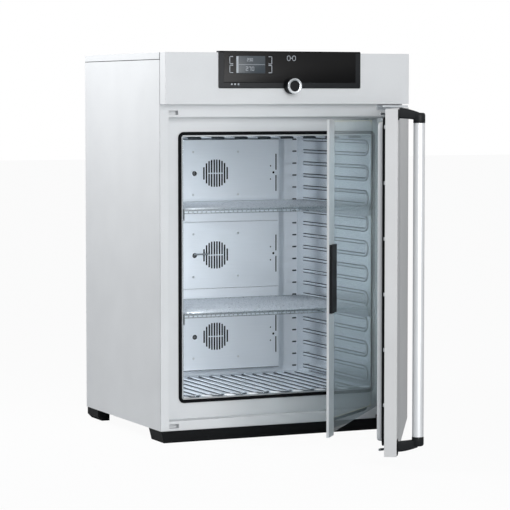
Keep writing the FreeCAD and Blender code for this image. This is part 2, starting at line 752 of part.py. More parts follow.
def modules():
    """Duct fans with their motors, and the thermoelectric blocks through the back wall."""
    wheel = (f"{CHAMBER_BACK} + fan_gap", f"{CHAMBER_BACK} + fan_gap + fan_depth")
    motor_span = (WALL_BACK, f"{WALL_BACK} + motor_depth")
    element_y = "housing_depth - housing_skin - sink_base - element_sheet"
    motors = []
    colds = []
    elements = []
    warms = []
    covers = []
    for name, step in MODULES.items():
        middle = module_z(step)
        centre = ("module_x", middle)
        node(f"{name}_fan", fan(f"{name}_fan", centre, "fan_radius", wheel,
                                (wheel[0], f"{WALL_BACK} + motor_depth / 2")))
        can = rod(f"{name}_motor_can", "y", centre, "motor_radius", motor_span)
        bore = rod(f"{name}_motor_bore", "y", centre, "shaft_radius + run_gap",
                   (f"{WALL_BACK} - 1", f"{WALL_BACK} + motor_depth / 2 + 1"))
        motors.append(cut(f"{name}_motor", can, [bore]))

        block = both_at("block_x", "block_size / 2")
        sink = both_at("block_x", "sink_size / 2")
        square = both_at(middle, "block_size / 2")
        tall = both_at(middle, "sink_size / 2")
        foot = (f"{DUCT_BACK} - sink_base", DUCT_BACK)
        cold = [box(f"{name}_cold_base", sink, foot, tall),
                box(f"{name}_cold_block", block, (DUCT_BACK, element_y), square)]
        cold += fins(f"{name}_cold_fin", (f"{foot[0]} - cold_fin", foot[0]), tall)
        colds.append(fuse(f"{name}_cold_sink", cold))
        elements.append(box(f"{name}_element", block, (element_y, f"{element_y} + element_sheet"), square))
        plate_y = (f"{element_y} + element_sheet", f"{element_y} + element_sheet + sink_base")
        warm = [box(f"{name}_warm_base", sink, plate_y, tall)]
        warm += fins(f"{name}_warm_fin", (plate_y[1], f"{plate_y[1]} + warm_fin"), tall)
        warms.append(fuse(f"{name}_warm_sink", warm))
        covers.append(rear_cover(name, middle))
    node("fan_motors", group("fan_motors", motors))
    node("cold_sinks", group("cold_sinks", colds))
    node("peltier_elements", group("peltier_elements", elements))
    node("warm_sinks", group("warm_sinks", warms))
    node("module_covers", group("module_covers", covers))


def both_at(centre, half):
    """A pair of faces the same distance each side of a centre."""
    return (f"{centre} - ({half})", f"{centre} + ({half})")


def fins(name, depth, tall):
    """A row of upright fins across a heat sink."""
    half = int((SIZES["sink_size"] - SIZES["fin_sheet"]) / 2 // SIZES["fin_pitch"])
    return [
        box(name, (f"block_x + {step} * fin_pitch - fin_sheet / 2", f"block_x + {step} * fin_pitch + fin_sheet / 2"),
            depth, tall)
        for step in range(-half, half + 1)
    ]


def rear_cover(name, middle):
    """The vented box over one block's warm side, with a fan behind the heat sink."""
    wide = both_at("module_x", "cover_width / 2")
    tall = both_at(middle, "cover_height / 2")
    back = "housing_depth + cover_depth"
    skin = "1.5 * housing_skin"
    shell = box(f"{name}_cover_shell", wide, ("housing_depth", back), tall)
    hollow = box(f"{name}_cover_hollow", (f"{wide[0]} + {skin}", f"{wide[1]} - {skin}"),
                 ("housing_depth - 1", f"{back} - {skin}"), (f"{tall[0]} + {skin}", f"{tall[1]} - {skin}"))
    mouth = rod(f"{name}_cover_mouth", "y", ("block_x", middle), "rear_opening", (f"{back} - 3", f"{back} + 1"))
    vents = [
        box(f"{name}_cover_vent", (f"{wide[0]} + cover_vent_start + {step} * cover_vent_pitch",
                                   f"{wide[0]} + cover_vent_start + {step} * cover_vent_pitch + cover_vent_width"),
            (f"{back} - 3", f"{back} + 1"), both_at(middle, "cover_vent_reach"))
        for step in range(SIZES["cover_vents"])
    ]
    shell = cut(f"{name}_cover_open", shell, [hollow, mouth] + vents)
    cross = [
        box(f"{name}_cover_strut", both_at("block_x", "rear_opening + 2"), (f"{back} - {skin}", back),
            both_at(middle, "3")),
        box(f"{name}_cover_strut", both_at("block_x", "3"), (f"{back} - {skin}", back),
            both_at(middle, "rear_opening + 2")),
        rod(f"{name}_cover_hub", "y", ("block_x", middle), "fan_hub", (f"{back} - rear_hub_depth", back)),
    ]
    bore = rod(f"{name}_cover_bore", "y", ("block_x", middle), "shaft_radius + run_gap",
               (f"{back} - rear_hub_depth - 1", f"{back} - 4"))
    wheel = (f"{back} - rear_fan_gap - rear_fan_depth", f"{back} - rear_fan_gap")
    node(f"{name}_rear_fan", fan(f"{name}_rear_fan", ("block_x", middle), "rear_fan_radius", wheel,
                                 (wheel[0], f"{back} - 5")))
    return cut(f"{name}_cover", fuse(f"{name}_cover_joined", [shell] + cross), [bore])


def insulation():
    """Foam between the chamber and the housing, hollow for the chamber, fans and blocks."""
    block = box("foam_block", both(SIDE, "housing_skin"), ("tray_depth + frame_sheet", "housing_depth - housing_skin"),
                ("foot_height + housing_skin", "bay_floor"))
    room = box("foam_room", both(f"{WALL} + chamber_sheet"), ("0", WALL_BACK),
               ("chamber_low - chamber_sheet", f"{CHAMBER_TOP} + chamber_sheet"))
    tunnels = []
    for name, step in MODULES.items():
        middle = module_z(step)
        tunnels.append(box(f"{name}_foam_tunnel", both_at("block_x", "sink_size / 2"),
                           (WALL_BACK, "housing_depth + 1"), both_at(middle, "sink_size / 2")))
        tunnels.append(rod(f"{name}_foam_motor", "y", ("module_x", middle), "motor_radius",
                           (WALL_BACK, f"{WALL_BACK} + motor_depth")))
    node("insulation", cut("insulation", block, [room] + tunnels))


def electronics():
    """The bay above the chamber: its floor, the power supply and the rear sockets."""
    node("electronics_tray", box("electronics_tray", both(SIDE, "housing_skin"),
                                 ("frame_sheet", "housing_depth - housing_skin"),
                                 ("bay_floor", "bay_floor + 1.5 * housing_skin")))
    floor = "bay_floor + 1.5 * housing_skin"
    node("power_supply", box("power_supply", both("supply_width / 2"),
                             ("housing_depth / 2", "housing_depth / 2 + supply_depth"),
                             (floor, f"{floor} + supply_height")))
    flange = box("socket_flange", both_at("socket_x", "socket_half + socket_side_lip"),
                 ("housing_depth", "housing_depth + 2 * housing_skin"),
                 both_at("socket_z", "socket_rise + socket_top_lip"))
    can = box("socket_can", both_at("socket_x", "socket_half"), ("housing_depth - socket_depth", "housing_depth"),
              both_at("socket_z", "socket_rise"))
    inlet = box("inlet_hole", ("socket_x - inlet_left", "socket_x + inlet_right"),
                ("housing_depth - inlet_depth", "housing_depth + 3 * housing_skin"),
                both_at("socket_z", "inlet_rise"))
    jack = box("jack_hole", ("socket_x + jack_left", "socket_x + jack_right"),
               ("housing_depth - jack_depth", "housing_depth + 3 * housing_skin"),
               both_at("socket_z", "jack_rise"))
    node("rear_sockets", cut("rear_sockets", fuse("socket_body", [flange, can]), [inlet, jack]))


def head():
    """The control head with its panel, display, board and the turn-and-push knob."""
    face = "-head_reach"
    shell = box("head_shell", both(SIDE), (face, "0"), ("head_bottom", "housing_height"))
    hollow = box("head_hollow", both(SIDE, "head_sheet"), ("-head_reach + head_sheet", "1"),
                 ("head_bottom + head_sheet", "housing_height - head_sheet"))
    screen = box("head_screen_hole", ("screen_left", "screen_right"), ("-head_reach - 1", "-head_reach + 2 * head_sheet"),
                 ("screen_low", "screen_high"))
    shaft = rod("head_shaft_hole", "y", ("0", "knob_z"), "2 * shaft_radius",
                ("-head_reach - 1", "-head_reach + 2 * head_sheet"))
    tabs = [
        box("head_tab", both_at(f"{side} ({SIDE} / 2)", "20"), ("-head_sheet", "frame_sheet"),
            ("head_bottom", "head_bottom + flange_width"))
        for side in ("-", "")
    ]
    pressed = fuse("head_pressing", [cut("head_folded", shell, [hollow])] + tabs)
    node("control_head", cut("control_head", pressed, [screen, shaft]))

    front_y = "-head_reach - bezel_sheet"
    board = box("bezel_board", both("bezel_width / 2"), (front_y, face),
                ("bezel_low", "housing_height + bezel_rise"))
    lip = box("bezel_lip", both("bezel_width / 2"), (front_y, "-head_reach + bezel_wrap"),
              ("housing_height", "housing_height + bezel_rise"))
    window = box("bezel_window", ("screen_left", "screen_right"), (f"{front_y} - 1", f"{face} + 1"),
                 ("screen_low", "screen_high"))
    hole = rod("bezel_hole", "y", ("0", "knob_z"), "2 * shaft_radius", (f"{front_y} - 1", f"{face} + 1"))
    node("panel_bezel", cut("panel_bezel", fuse("bezel_joined", [board, lip]), [window, hole]))

    pane = box("panel_pane", both("bezel_width / 2", "glass_inset"), (f"{front_y} - 0.8", front_y),
               ("bezel_low + glass_inset", "housing_height + bezel_rise - 2"))
    notch = rod("pane_notch", "y", ("0", "knob_z"), "knob_radius + knob_gap", (f"{front_y} - 2", f"{front_y} + 1"))
    node("panel_glass", cut("panel_glass", pane, [notch]))
    node("display_module", box("display_module", ("screen_left + 0.2", "screen_right - 0.2"),
                               (front_y, "-head_reach + 6"), ("screen_low + 0.2", "screen_high - 0.2")))

    board_y = "-head_reach + board_gap"
    card = box("board_card", both("bezel_width / 2"), (board_y, f"{board_y} + board_sheet"),
               ("board_low", "board_high"))
    posts = [
        rod("board_post", "y", (f"{side} (bezel_width / 2 - 8)", level), "3", ("-head_reach + head_sheet", board_y))
        for side in ("-", "")
        for level in ("board_low + 8", "board_high - 8")
    ]
    encoder = box("encoder", both("encoder_size / 2"), ("-head_reach + head_sheet + 2", board_y),
                  both_at("knob_z", "encoder_size / 2"))
    stub = rod("encoder_shaft", "y", ("0", "knob_z"), "shaft_radius",
               (f"{front_y} - knob_gap - 7", "-head_reach + head_sheet + 2"))
    node("control_board", fuse("control_board", [card] + posts + [encoder, stub]))

    near = f"{front_y} - knob_gap"
    far = f"{front_y} - knob_gap - knob_depth"
    ring = rod("knob_blank", "y", ("0", "knob_z"), "knob_radius", (far, near))
    cup = rod("knob_cup", "y", ("0", "knob_z"), "cap_radius + run_gap", (f"{far} - 1", f"{near} - 9"))
    bore = rod("knob_bore", "y", ("0", "knob_z"), "shaft_radius + run_gap", (f"{near} - 10", f"{near} + 1"))
    node("knob_ring", cut("knob_ring", ring, [fuse("knob_room", [cup, bore])]))
    node("knob_cap", rod("knob_cap", "y", ("0", "knob_z"), "cap_radius",
                         (f"{far} + cap_proud", f"{near} - 9 - cap_travel - 0.3")))


def hinges():
    """The fixed hinge plates above and below the outer door, each with its pin."""
    wide = (f"{SIDE} - hinge_span", SIDE)
    upper = ("door_high + hinge_gap", "door_high + hinge_gap + hinge_plate")
    lower = ("door_low - hinge_gap - hinge_plate", "door_low - hinge_gap")
    deep = ("door_hinge_y - hinge_lip", "0")
    top = box("upper_leaf", wide, deep, upper)
    top_flange = box("upper_leaf_flange", wide, ("-hinge_flange", "0"), (f"{upper[0]} - 8", upper[1]))
    top_pin = rod("upper_pin", "z", ("door_hinge_x", "door_hinge_y"), "hinge_pin",
                  ("door_high - hinge_reach", upper[1]))
    node("upper_hinge_plate", fuse("upper_hinge_plate", [top, top_flange, top_pin]))
    foot = box("lower_leaf", wide, (deep[0], "-3"), lower)
    foot_flange = box("lower_leaf_flange", wide, ("-hinge_flange", "0"), ("foot_height", "foot_height + hinge_flange_rise"))
    foot_web = box("lower_leaf_web", wide, ("-hinge_flange", "-3"), (lower[0], "foot_height + hinge_flange_rise"))
    foot_pin = rod("lower_pin", "z", ("door_hinge_x", "door_hinge_y"), "hinge_pin",
                   (lower[0], "door_low + hinge_reach"))
    node("lower_hinge_plate", fuse("lower_hinge_plate", [foot, foot_flange, foot_web, foot_pin]))


def outer_door():
    """The insulated outer door: skin, lining with its raised plug, foam and seal."""
    left = f"-{SIDE}"
    right = f"{SIDE} - door_hinge_gap"
    inner_y = "door_thick - head_reach"
    tall = ("door_low", "door_high")
    shell = box("door_shell", (left, right), ("-head_reach", inner_y), tall)
    hollow = box("door_hollow", (f"{left} + door_skin", f"{right} - door_skin"),
                 ("-head_reach + door_skin", f"{inner_y} + 1"), ("door_low + door_skin", "door_high - door_skin"))
    blocks = [
        box("hinge_block", (f"{right} - hinge_block", f"{right} - door_skin"),
            ("door_hinge_y - hinge_lip", "door_hinge_y + hinge_block_back"), span)
        for span in (("door_high - hinge_reach - hinge_block_end", "door_high - door_skin"),
                     ("door_low + door_skin", "door_low + hinge_reach + hinge_block_end"))
    ]
    bores = [
        rod("hinge_bore", "z", ("door_hinge_x", "door_hinge_y"), "hinge_pin + run_gap", span)
        for span in (("door_high - hinge_reach - 1", "door_high + 1"), ("door_low - 1", "door_low + hinge_reach + 1"))
    ]
    rod_holes = [
        rod("latch_rod_hole", "z", ("latch_x", "latch_y"), "latch_rod + run_gap", span)
        for span in (("door_high - 2 * door_skin", "door_high + 1"), ("door_low - 1", "door_low + 2 * door_skin"))
    ]
    slots = [tongue_slot("skin_slot", level, ("-head_reach - 1", "-head_reach + 2 * door_skin"))
             for level in tongue_levels()]
    pressed = fuse("door_pressing", [cut("door_folded", shell, [hollow])] + blocks)
    on_door("door_skin", cut("door_skin", pressed, bores + rod_holes + slots))

    rim = box("lining_rim", (f"{left} + door_skin", f"{right} - door_skin"), (f"{inner_y} - lining_sheet", inner_y),
              ("door_low + door_skin", "door_high - door_skin"))
    plug = box("lining_plug", both("plug_width / 2"), (f"{inner_y} - lining_sheet", f"{inner_y} + plug_depth"),
               ("plug_low", "plug_high"))
    room = box("lining_room", both("plug_width / 2", "lining_sheet"),
               (f"{inner_y} - 2 * lining_sheet", f"{inner_y} + plug_depth - lining_sheet"),
               ("plug_low + lining_sheet", "plug_high - lining_sheet"))
    hook_slots = [
        box("hook_slot", ("latch_x + 3", "latch_x + 39"), (f"{inner_y} - 2 * lining_sheet", f"{inner_y} + 1"),
            both_at(height, "hook_sheet / 2 + 1"))
        for _, height in latch_heights()
    ]
    lining = cut("lining_pressing", fuse("lining_joined", [rim, bevelled("lining_plug_bevel", plug)]), [room])
    on_door("door_lining", cut("door_lining", lining, hook_slots))

    foam = box("door_foam", (f"{left} + free_edge_duct", f"{right} - hinge_block - 1"),
               ("-head_reach + door_skin", f"{inner_y} - lining_sheet"),
               ("door_low + door_skin", "door_high - door_skin"))
    core = box("door_core", (f"{left} + free_edge_duct", "plug_width / 2 - lining_sheet"),
               (f"{inner_y} - lining_sheet", f"{inner_y} + plug_depth - lining_sheet"),
               ("plug_low + lining_sheet", "plug_high - lining_sheet"))
    on_door("door_insulation", fuse("door_insulation", [foam, core]))

    outside = box("seal_outside", both("plug_width / 2 + seal_width"), (inner_y, f"{inner_y} + seal_depth"),
                  ("plug_low - seal_width", "plug_high + seal_width"))
    inside = box("seal_inside", both("plug_width / 2"), (f"{inner_y} - 1", f"{inner_y} + seal_depth + 1"),
                 ("plug_low", "plug_high"))
    on_door("door_seal", cut("door_seal", outside, [inside]))


def bevelled(name, base):
    """Bevel the four edges of the plug's inner face."""
    doc.recompute()
    top = base.Shape.BoundBox.YMax
    item = add("Part::Chamfer", name)
    item.Base = base
    item.Edges = [
        (number, SIZES["plug_bevel"], SIZES["plug_bevel"])
        for number, edge in enumerate(base.Shape.Edges, start=1)
        if edge.BoundBox.YMin > top - 0.01
    ]
    return item


def tongue_levels():
    """Heights of the two flat tongues that carry the handle's arms through the door."""
    return ("latch_high + hook_sheet / 2 + 1.5", "latch_low + hook_sheet / 2 + 1.5")


def tongue_slot(name, level, depth):
    """A slot wide enough for a tongue to swing as the handle turns."""
    return box(name, ("latch_x - slot_left", "latch_x + slot_right"), depth,
               (f"{level} - 1", f"{level} + tongue_sheet + 0.6"))


def handle():
    """The latch rod with its hooks, two arms and the upright grip tube."""
    upright = rod("latch_spindle", "z", ("latch_x", "latch_y"), "latch_rod", ("door_low", "door_high"))
    # a claw in plan: root, back, crown, point and throat, about the rod's centre
    claw = [("latch_x + 7", "latch_y - 4"), ("latch_x + 37", "latch_y + 19.7"), ("latch_x + 28", "latch_y + 31.2"),
            ("latch_x + 17.5", "latch_y + 36"), ("latch_x + 14.6", "latch_y + 33"),
            ("latch_x + 24", "latch_y + 24"), ("latch_x + 27.5", "latch_y + 19"), ("latch_x - 3", "latch_y + 7")]
    hooks = []
    for name, height in latch_heights():
        span = both_at(height, "hook_sheet / 2")
        hooks.append(plate(f"{name}_hook", "z", claw, span))
        hooks.append(rod(f"{name}_hook_boss", "z", ("latch_x", "latch_y"), "latch_rod + 3", span))
    on_door("latch_rod", fuse("latch_rod_joined", [upright] + hooks))

    plate_face = "-head_reach - base_sheet"
    bar_y = "-head_reach - handle_reach"
    bases = []
    for name, level in zip(("upper", "lower"), tongue_levels()):
        low = "door_high - 1 - base_height + 14" if name == "upper" else "door_low + 3"
        high = "door_high - 1" if name == "upper" else "door_low + 3 + base_height"
        base = box(f"{name}_base", (f"-{SIDE} + 1", f"-{SIDE} + 1 + base_width"), (plate_face, "-head_reach"), (low, high))
        bases.append(cut(f"{name}_base_open", base, [tongue_slot("base_slot", level, (f"{plate_face} - 1", "0"))]))
    on_door("handle_bases", group("handle_bases", bases))

    start = f"{plate_face} - 0.5"
    upper_side = [(start, "arm_high"), (start, "arm_high - arm_tall"), (f"{bar_y} + handle_radius", "arm_high - arm_tall - 4"),
                  (bar_y, "bar_high"), (bar_y, "arm_high - arm_drop")]
    lower_side = [(start, "arm_low"), (start, "arm_low + arm_tall"), (f"{bar_y} + handle_radius", "arm_low + arm_tall + 4"),
                  (bar_y, "bar_low"), (bar_y, "arm_low + arm_drop + 3")]
    ends = {"upper": (upper_side, ("bar_high", "arm_high - arm_drop")),
            "lower": (lower_side, ("arm_low + arm_drop + 3", "bar_low"))}
    for (name, (outline, cap)), level in zip(ends.items(), tongue_levels()):
        arm = plate(f"{name}_arm", "x", outline, both_at("latch_x", "arm_width / 2"))
        relief = plate(f"{name}_arm_relief", "z", swing_relief(), (level + " - arm_tall", level + " + 2 * arm_tall"))
        arm = cut(f"{name}_arm_relieved", arm, [relief])
        knuckle = rod(f"{name}_knuckle", "z", ("latch_x", bar_y), "handle_radius + 0.5", cap)
        tongue = box(f"{name}_tongue", both_at("latch_x", "6"), (f"{start} - 12", "latch_y"),
                     (level, f"{level} + tongue_sheet"))
        eye = rod(f"{name}_eye", "z", ("latch_x", "latch_y"), "latch_rod + 4", (level, f"{level} + tongue_sheet"))
        hole = rod(f"{name}_eye_hole", "z", ("latch_x", "latch_y"), "latch_rod", (f"{level} - 1", f"{level} + tongue_sheet + 1"))
        joined = fuse(f"{name}_bracket_joined", [arm, knuckle, tongue, eye])
        on_door(f"{name}_handle_bracket", cut(f"{name}_bracket", joined, [hole]))

    tube = rod("bar_outside", "z", ("latch_x", bar_y), "handle_radius", ("bar_low", "bar_high"))
    bore = rod("bar_inside", "z", ("latch_x", bar_y), "handle_radius - handle_wall", ("bar_low - 1", "bar_high + 1"))
    on_door("handle_bar", cut("handle_bar", tube, [bore]))


def swing_relief():
    """The corner in plan that an arm loses, so that it clears its base as the handle turns."""
    clear = "(latch_y + head_reach + base_sheet + swing_gap)"
    wide = "(arm_width / 2 + 1)"
    left = f"latch_y - ({clear} - {wide} * sin(handle_swing)) / cos(handle_swing)"
    right = f"latch_y - ({clear} + {wide} * sin(handle_swing)) / cos(handle_swing)"
    return [(f"latch_x - {wide}", left), (f"latch_x + {wide}", right),
            (f"latch_x + {wide}", "latch_y"), (f"latch_x - {wide}", "latch_y")]


def glass_door():
    """The inner glass door: pane, metal edge with a grip, and pivot clamps."""
    near = "tray_depth - gasket_depth - glass_sheet"
    far = "tray_depth - gasket_depth"
    free = "glass_hinge_x - glass_width"
    end = "glass_hinge_x + 6"
    pane = box("pane", (f"{free} + edge_cap", end), (near, far), ("glass_low", "glass_high"))
    on_glass_door("glass_pane", pane)
    tall = ("edge_low", "edge_high")
    strip = box("edge_strip_sheet", (free, f"{free} + edge_strip"), (f"{near} - edge_sheet", near), tall)
    cap = box("edge_cap_sheet", (free, f"{free} + edge_cap"), (f"{near} - edge_sheet", f"{far} + 1"), tall)
    back = box("edge_back_sheet", (free, f"{free} + edge_strip / 3"), (far, f"{far} + 1"), tall)
    on_glass_door("glass_edge_profile", fuse("glass_edge_profile", [strip, cap, back]))
    grip = box("grip", (f"{free} + edge_cap", f"{free} + edge_strip"),
               (f"{near} - edge_sheet - grip_depth", f"{near} - edge_sheet"), ("grip_low", "grip_high"))
    scoop = box("grip_scoop", (f"{free} + edge_cap + 12", f"{free} + edge_strip + 1"),
                (f"{near} - edge_sheet - grip_depth + 2.5", f"{near} - edge_sheet - 1.5"),
                ("grip_low + 6", "grip_high - 6"))
    on_glass_door("glass_door_grip", cut("glass_door_grip", grip, [scoop]))

    clamps = []
    for name, span, pin in (
        ("upper", ("glass_high - clamp_height", "glass_high"), ("glass_high", "tray_high + frame_sheet")),
        ("lower", ("glass_low", "glass_low + clamp_height"), ("tray_low - frame_sheet", "glass_low")),
    ):
        wide = (f"{end} - clamp_width", end)
        front_jaw = box(f"{name}_clamp_jaw", wide, ("glass_hinge_y - 6", near), span)
        rear_jaw = box(f"{name}_clamp_back", wide, (far, f"{far} + 2"), span)
        side = box(f"{name}_clamp_side", (end, f"{end} + 2"), ("glass_hinge_y - 6", f"{far} + 2"), span)
        stud = rod(f"{name}_clamp_pin", "z", ("glass_hinge_x", "glass_hinge_y"), "glass_pin", pin)
        clamps.append(fuse(f"{name}_clamp", [front_jaw, rear_jaw, side, stud]))
    on_glass_door("glass_hinge_clamps", group("glass_hinge_clamps", clamps))


def shelves():
    """Two wire shelves whose side rails stand on ribs of the side walls."""
    wide = both(WALL, "shelf_side_gap")
    long = ("chamber_front + shelf_front_gap", f"{CHAMBER_BACK} - shelf_rear_gap")
    inside = both(WALL, "shelf_side_gap + shelf_bar")
    wires = SIZES["shelf_wires"]
    for name in ("upper", "lower"):
        rib = f"chamber_low + (0.5 + {name}_shelf_rib) * rib_pitch"
        high = f"{rib} - shelf_under_rib"
        low = f"{high} - shelf_bar"
        rim = cut(f"{name}_shelf_rim", box(f"{name}_shelf_outside", wide, long, (low, high)),
                  [box(f"{name}_shelf_inside", inside, (f"{long[0]} + shelf_bar", f"{long[1]} - shelf_bar"),
                       (f"{low} - 1", f"{high} + 1"))])
        grid = [
            rod(f"{name}_shelf_wire", "y", (f"{step} * wire_pitch", f"{high} - shelf_wire"),
                "shelf_wire", (f"{long[0]} + shelf_bar / 2", f"{long[1]} - shelf_bar / 2"))
            for step in range(-wires, wires + 1)
        ]
        beams = [
            box(f"{name}_shelf_beam", (f"{inside[0]} - 1", f"{inside[1]} + 1"),
                both_at(f"{long[0]} + {part} * chamber_depth", "2"), (low, f"{high} - 1.5 * shelf_wire"))
            for part in ("0.33", "0.66")
        ]
        front_y = (long[0], f"{long[0]} + shelf_rail")
        lip = [box(f"{name}_shelf_lip", wide, (long[0], f"{long[0]} + 1.5 * shelf_rail"),
                   (f"{low} - shelf_drop", f"{low} - shelf_drop + 1.5 * shelf_rail"))]
        lip += [
            box(f"{name}_shelf_drop", both_at(f"{step} * wire_pitch", "shelf_rail / 2"), front_y,
                (f"{low} - shelf_drop + shelf_rail / 2", f"{low} + shelf_rail / 2"))
            for step in range(-wires, wires + 1)
        ]
        rails = [
            box(f"{name}_shelf_rail", side, long, (f"{rib} - rib_pitch + rib_radius", f"{low} + shelf_rail"))
            for side in ((wide[0], f"{wide[0]} + shelf_rail"), (f"{wide[1]} - shelf_rail", wide[1]))
        ]
        rails += [
            box(f"{name}_shelf_foot", side, long, (f"{rib} - rib_pitch + rib_radius",
                                                   f"{rib} - rib_pitch + rib_radius + shelf_rail"))
            for side in ((f"{wide[0]} - shelf_foot", f"{wide[0]} + shelf_rail"),
                         (f"{wide[1]} - shelf_rail", f"{wide[1]} + shelf_foot"))
        ]
        node(f"{name}_shelf", fuse(f"{name}_shelf", [rim] + grid + beams + lip + rails))


for build in (housing, front, chamber, air_panels, modules, insulation, electronics, head, hinges,
              outer_door, handle, glass_door, shelves):
    build()
doc.recompute()

faults = [item.Label for item in doc.Objects if {"Invalid", "Error"} & set(item.State)]
for name, item in nodes.items():
    if item.Shape.isNull() or not item.Shape.isValid() or not item.Shape.Solids:
        faults.append(name)
if faults:
    raise RuntimeError("failed: " + ", ".join(faults))

os.makedirs("parts", exist_ok=True)
for name, item in nodes.items():
    item.Shape.exportStep(f"parts/{name}.step")
print(len(nodes), "sub-parts")
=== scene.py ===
"""Laboratory incubator with its doors open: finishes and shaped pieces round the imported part.

Lengths in this script are millimetres in the part's frame: X right, Y into the cabinet, Z up.
They become metres when a mesh is made.
"""

import math

import bmesh
import bpy
import numpy as np
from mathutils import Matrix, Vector


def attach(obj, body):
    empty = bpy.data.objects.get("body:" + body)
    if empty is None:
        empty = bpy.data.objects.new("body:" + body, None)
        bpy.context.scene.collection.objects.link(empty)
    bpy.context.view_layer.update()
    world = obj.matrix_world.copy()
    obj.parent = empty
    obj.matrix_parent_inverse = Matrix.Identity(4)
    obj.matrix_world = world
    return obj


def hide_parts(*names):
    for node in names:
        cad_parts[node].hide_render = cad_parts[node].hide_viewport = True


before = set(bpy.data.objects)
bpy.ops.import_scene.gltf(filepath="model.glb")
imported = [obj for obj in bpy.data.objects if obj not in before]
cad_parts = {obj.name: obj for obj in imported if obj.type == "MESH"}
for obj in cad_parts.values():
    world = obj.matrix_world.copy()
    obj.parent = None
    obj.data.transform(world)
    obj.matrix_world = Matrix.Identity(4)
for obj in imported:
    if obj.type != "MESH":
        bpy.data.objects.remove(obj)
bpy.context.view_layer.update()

MM = 0.001
CORNER_STEPS = 6
TURN_STEPS = 48

# Hinge line of each door, X and Y, and how far it stands open in degrees.
HINGES = {
    "outer_door": (400, -25, 59.5),
    "glass_door": (372, 20, 50.1),
}
# The latch rod's axis on the closed door, the depth of the grip tube and the handle's turn.
LATCH_X, LATCH_Y = -392, -27
BAR_Y = -103.3
HANDLE_TURN = 30
PLATE_CLEAR = 20.7
KNOB_AT = (0, 1082)
# Fans inside and behind the chamber: X of each row and the three heights.
MODULE_X = 7
MODULE_Z = (798, 528, 258)
BLOCK_X = 140
# Inner height of the chamber, and its pressed ribs: hairpins that open to the back.
CHAMBER_LOW, CHAMBER_HIGH = 128, 928
CHAMBER_SIDE = 319.7
RIB_EDGE = 4.7
RIB_FRONT, RIB_REAR = 82.5, 519.5
RIB_TURN = 68
SIDE_RIB_PITCH, SIDE_RIBS = 80, 10
FLOOR_RIB_PITCH, FLOOR_RIBS = 78, 8
BACKING = (541.6, 542.4)
FLOOR_SIDE = 30.0


# ---------------------------------------------------------------- surfaces

def place(axis, across, up, level):
    """Put two coordinates of a plane and a level along its axis into X, Y, Z."""
    across, up = np.broadcast_arrays(np.asarray(across, float), np.asarray(up, float))
    level = np.broadcast_to(np.asarray(level, float), across.shape)
    order = {"x": (level, across, up), "y": (across, level, up), "z": (across, up, level)}[axis]
    return np.stack(order, axis=-1)


def rounded_ring(axis, centre, half, corner, level):
    """Outline of a rectangle with round corners.

    Each corner is a quarter circle about the point one radius in from both sides, and the
    straight sides join the quarters.
    """
    corner = max(min(corner, half[0], half[1]), 0.01)
    turn = np.linspace(0, np.pi / 2, CORNER_STEPS + 1)
    angle = (np.arange(4)[:, None] * np.pi / 2 + turn[None, :]).ravel()
    signs = np.array([[1, 1], [-1, 1], [-1, -1], [1, -1]]).repeat(CORNER_STEPS + 1, axis=0)
    across = centre[0] + signs[:, 0] * (half[0] - corner) + corner * np.cos(angle)
    up = centre[1] + signs[:, 1] * (half[1] - corner) + corner * np.sin(angle)
    return place(axis, across, up, level)


def circle(axis, centre, radius, level, steps=TURN_STEPS):
    """Points at equal angles round a circle: centre plus radius times cosine and sine."""
    angle = np.arange(steps) * 2 * np.pi / steps
    return place(axis, centre[0] + radius * np.cos(angle), centre[1] + radius * np.sin(angle), level)


def loft(rings, wrap=False):
    """Skin over rings of equal count: quads join each ring to the next.

    With wrap the last ring joins the first, and without it both ends get a flat cap.
    """
    rings = np.asarray(rings)
    count, around = rings.shape[:2]
    grid = np.arange(count * around).reshape(count, around)
    following = np.roll(grid, -1, axis=0) if wrap else grid[1:]
    low = grid if wrap else grid[:-1]
    quads = np.stack([low, np.roll(low, -1, axis=1), np.roll(following, -1, axis=1), following], axis=-1)
    faces = [tuple(face) for face in quads.reshape(-1, 4).tolist()]
    if not wrap:
        faces += [tuple(grid[0][::-1].tolist()), tuple(grid[-1].tolist())]
    return rings.reshape(-1, 3), faces


def block(axis, low, high, corner=2.0, rim=1.0):
    """A box with round corners along its axis and quarter-round rims at both ends.

    The rim follows a quarter circle: the outline shrinks by rim times one minus the cosine
    while its level moves by rim times one minus the sine.
    """
    index = "xyz".index(axis)
    sides = [number for number in range(3) if number != index]
    centre = [(low[number] + high[number]) / 2 for number in sides]
    half = [(high[number] - low[number]) / 2 for number in sides]
    rings = []
    for turn in np.linspace(0, np.pi / 2, 4):
        shrink, lift = rim * (1 - np.sin(turn)), rim * (1 - np.cos(turn))
        outline = [size - shrink for size in half]
        rings.append(rounded_ring(axis, centre, outline, corner - shrink, low[index] + lift))
    for turn in np.linspace(np.pi / 2, 0, 4):
        shrink, lift = rim * (1 - np.sin(turn)), rim * (1 - np.cos(turn))
        outline = [size - shrink for size in half]
        rings.append(rounded_ring(axis, centre, outline, corner - shrink, high[index] - lift))
    return loft(rings)


def lathe(axis, centre, profile, wrap=False, steps=TURN_STEPS):
    """Surface of revolution: each (radius, level) pair of the profile becomes a circle."""
    return loft([circle(axis, centre, max(radius, 0.02), level, steps) for radius, level in profile], wrap)


def frame_strip(axis, centre, half, corner, profile):
    """A profile carried round a rectangle with round corners.

    Each (growth, level) pair of the profile is an outline grown by that much, so the section
    stays the same all the way round.
    """
    rings = [
        rounded_ring(axis, centre, (half[0] + grow, half[1] + grow), corner + grow, level)
        for grow, level in profile
    ]
    return loft(rings, wrap=True)


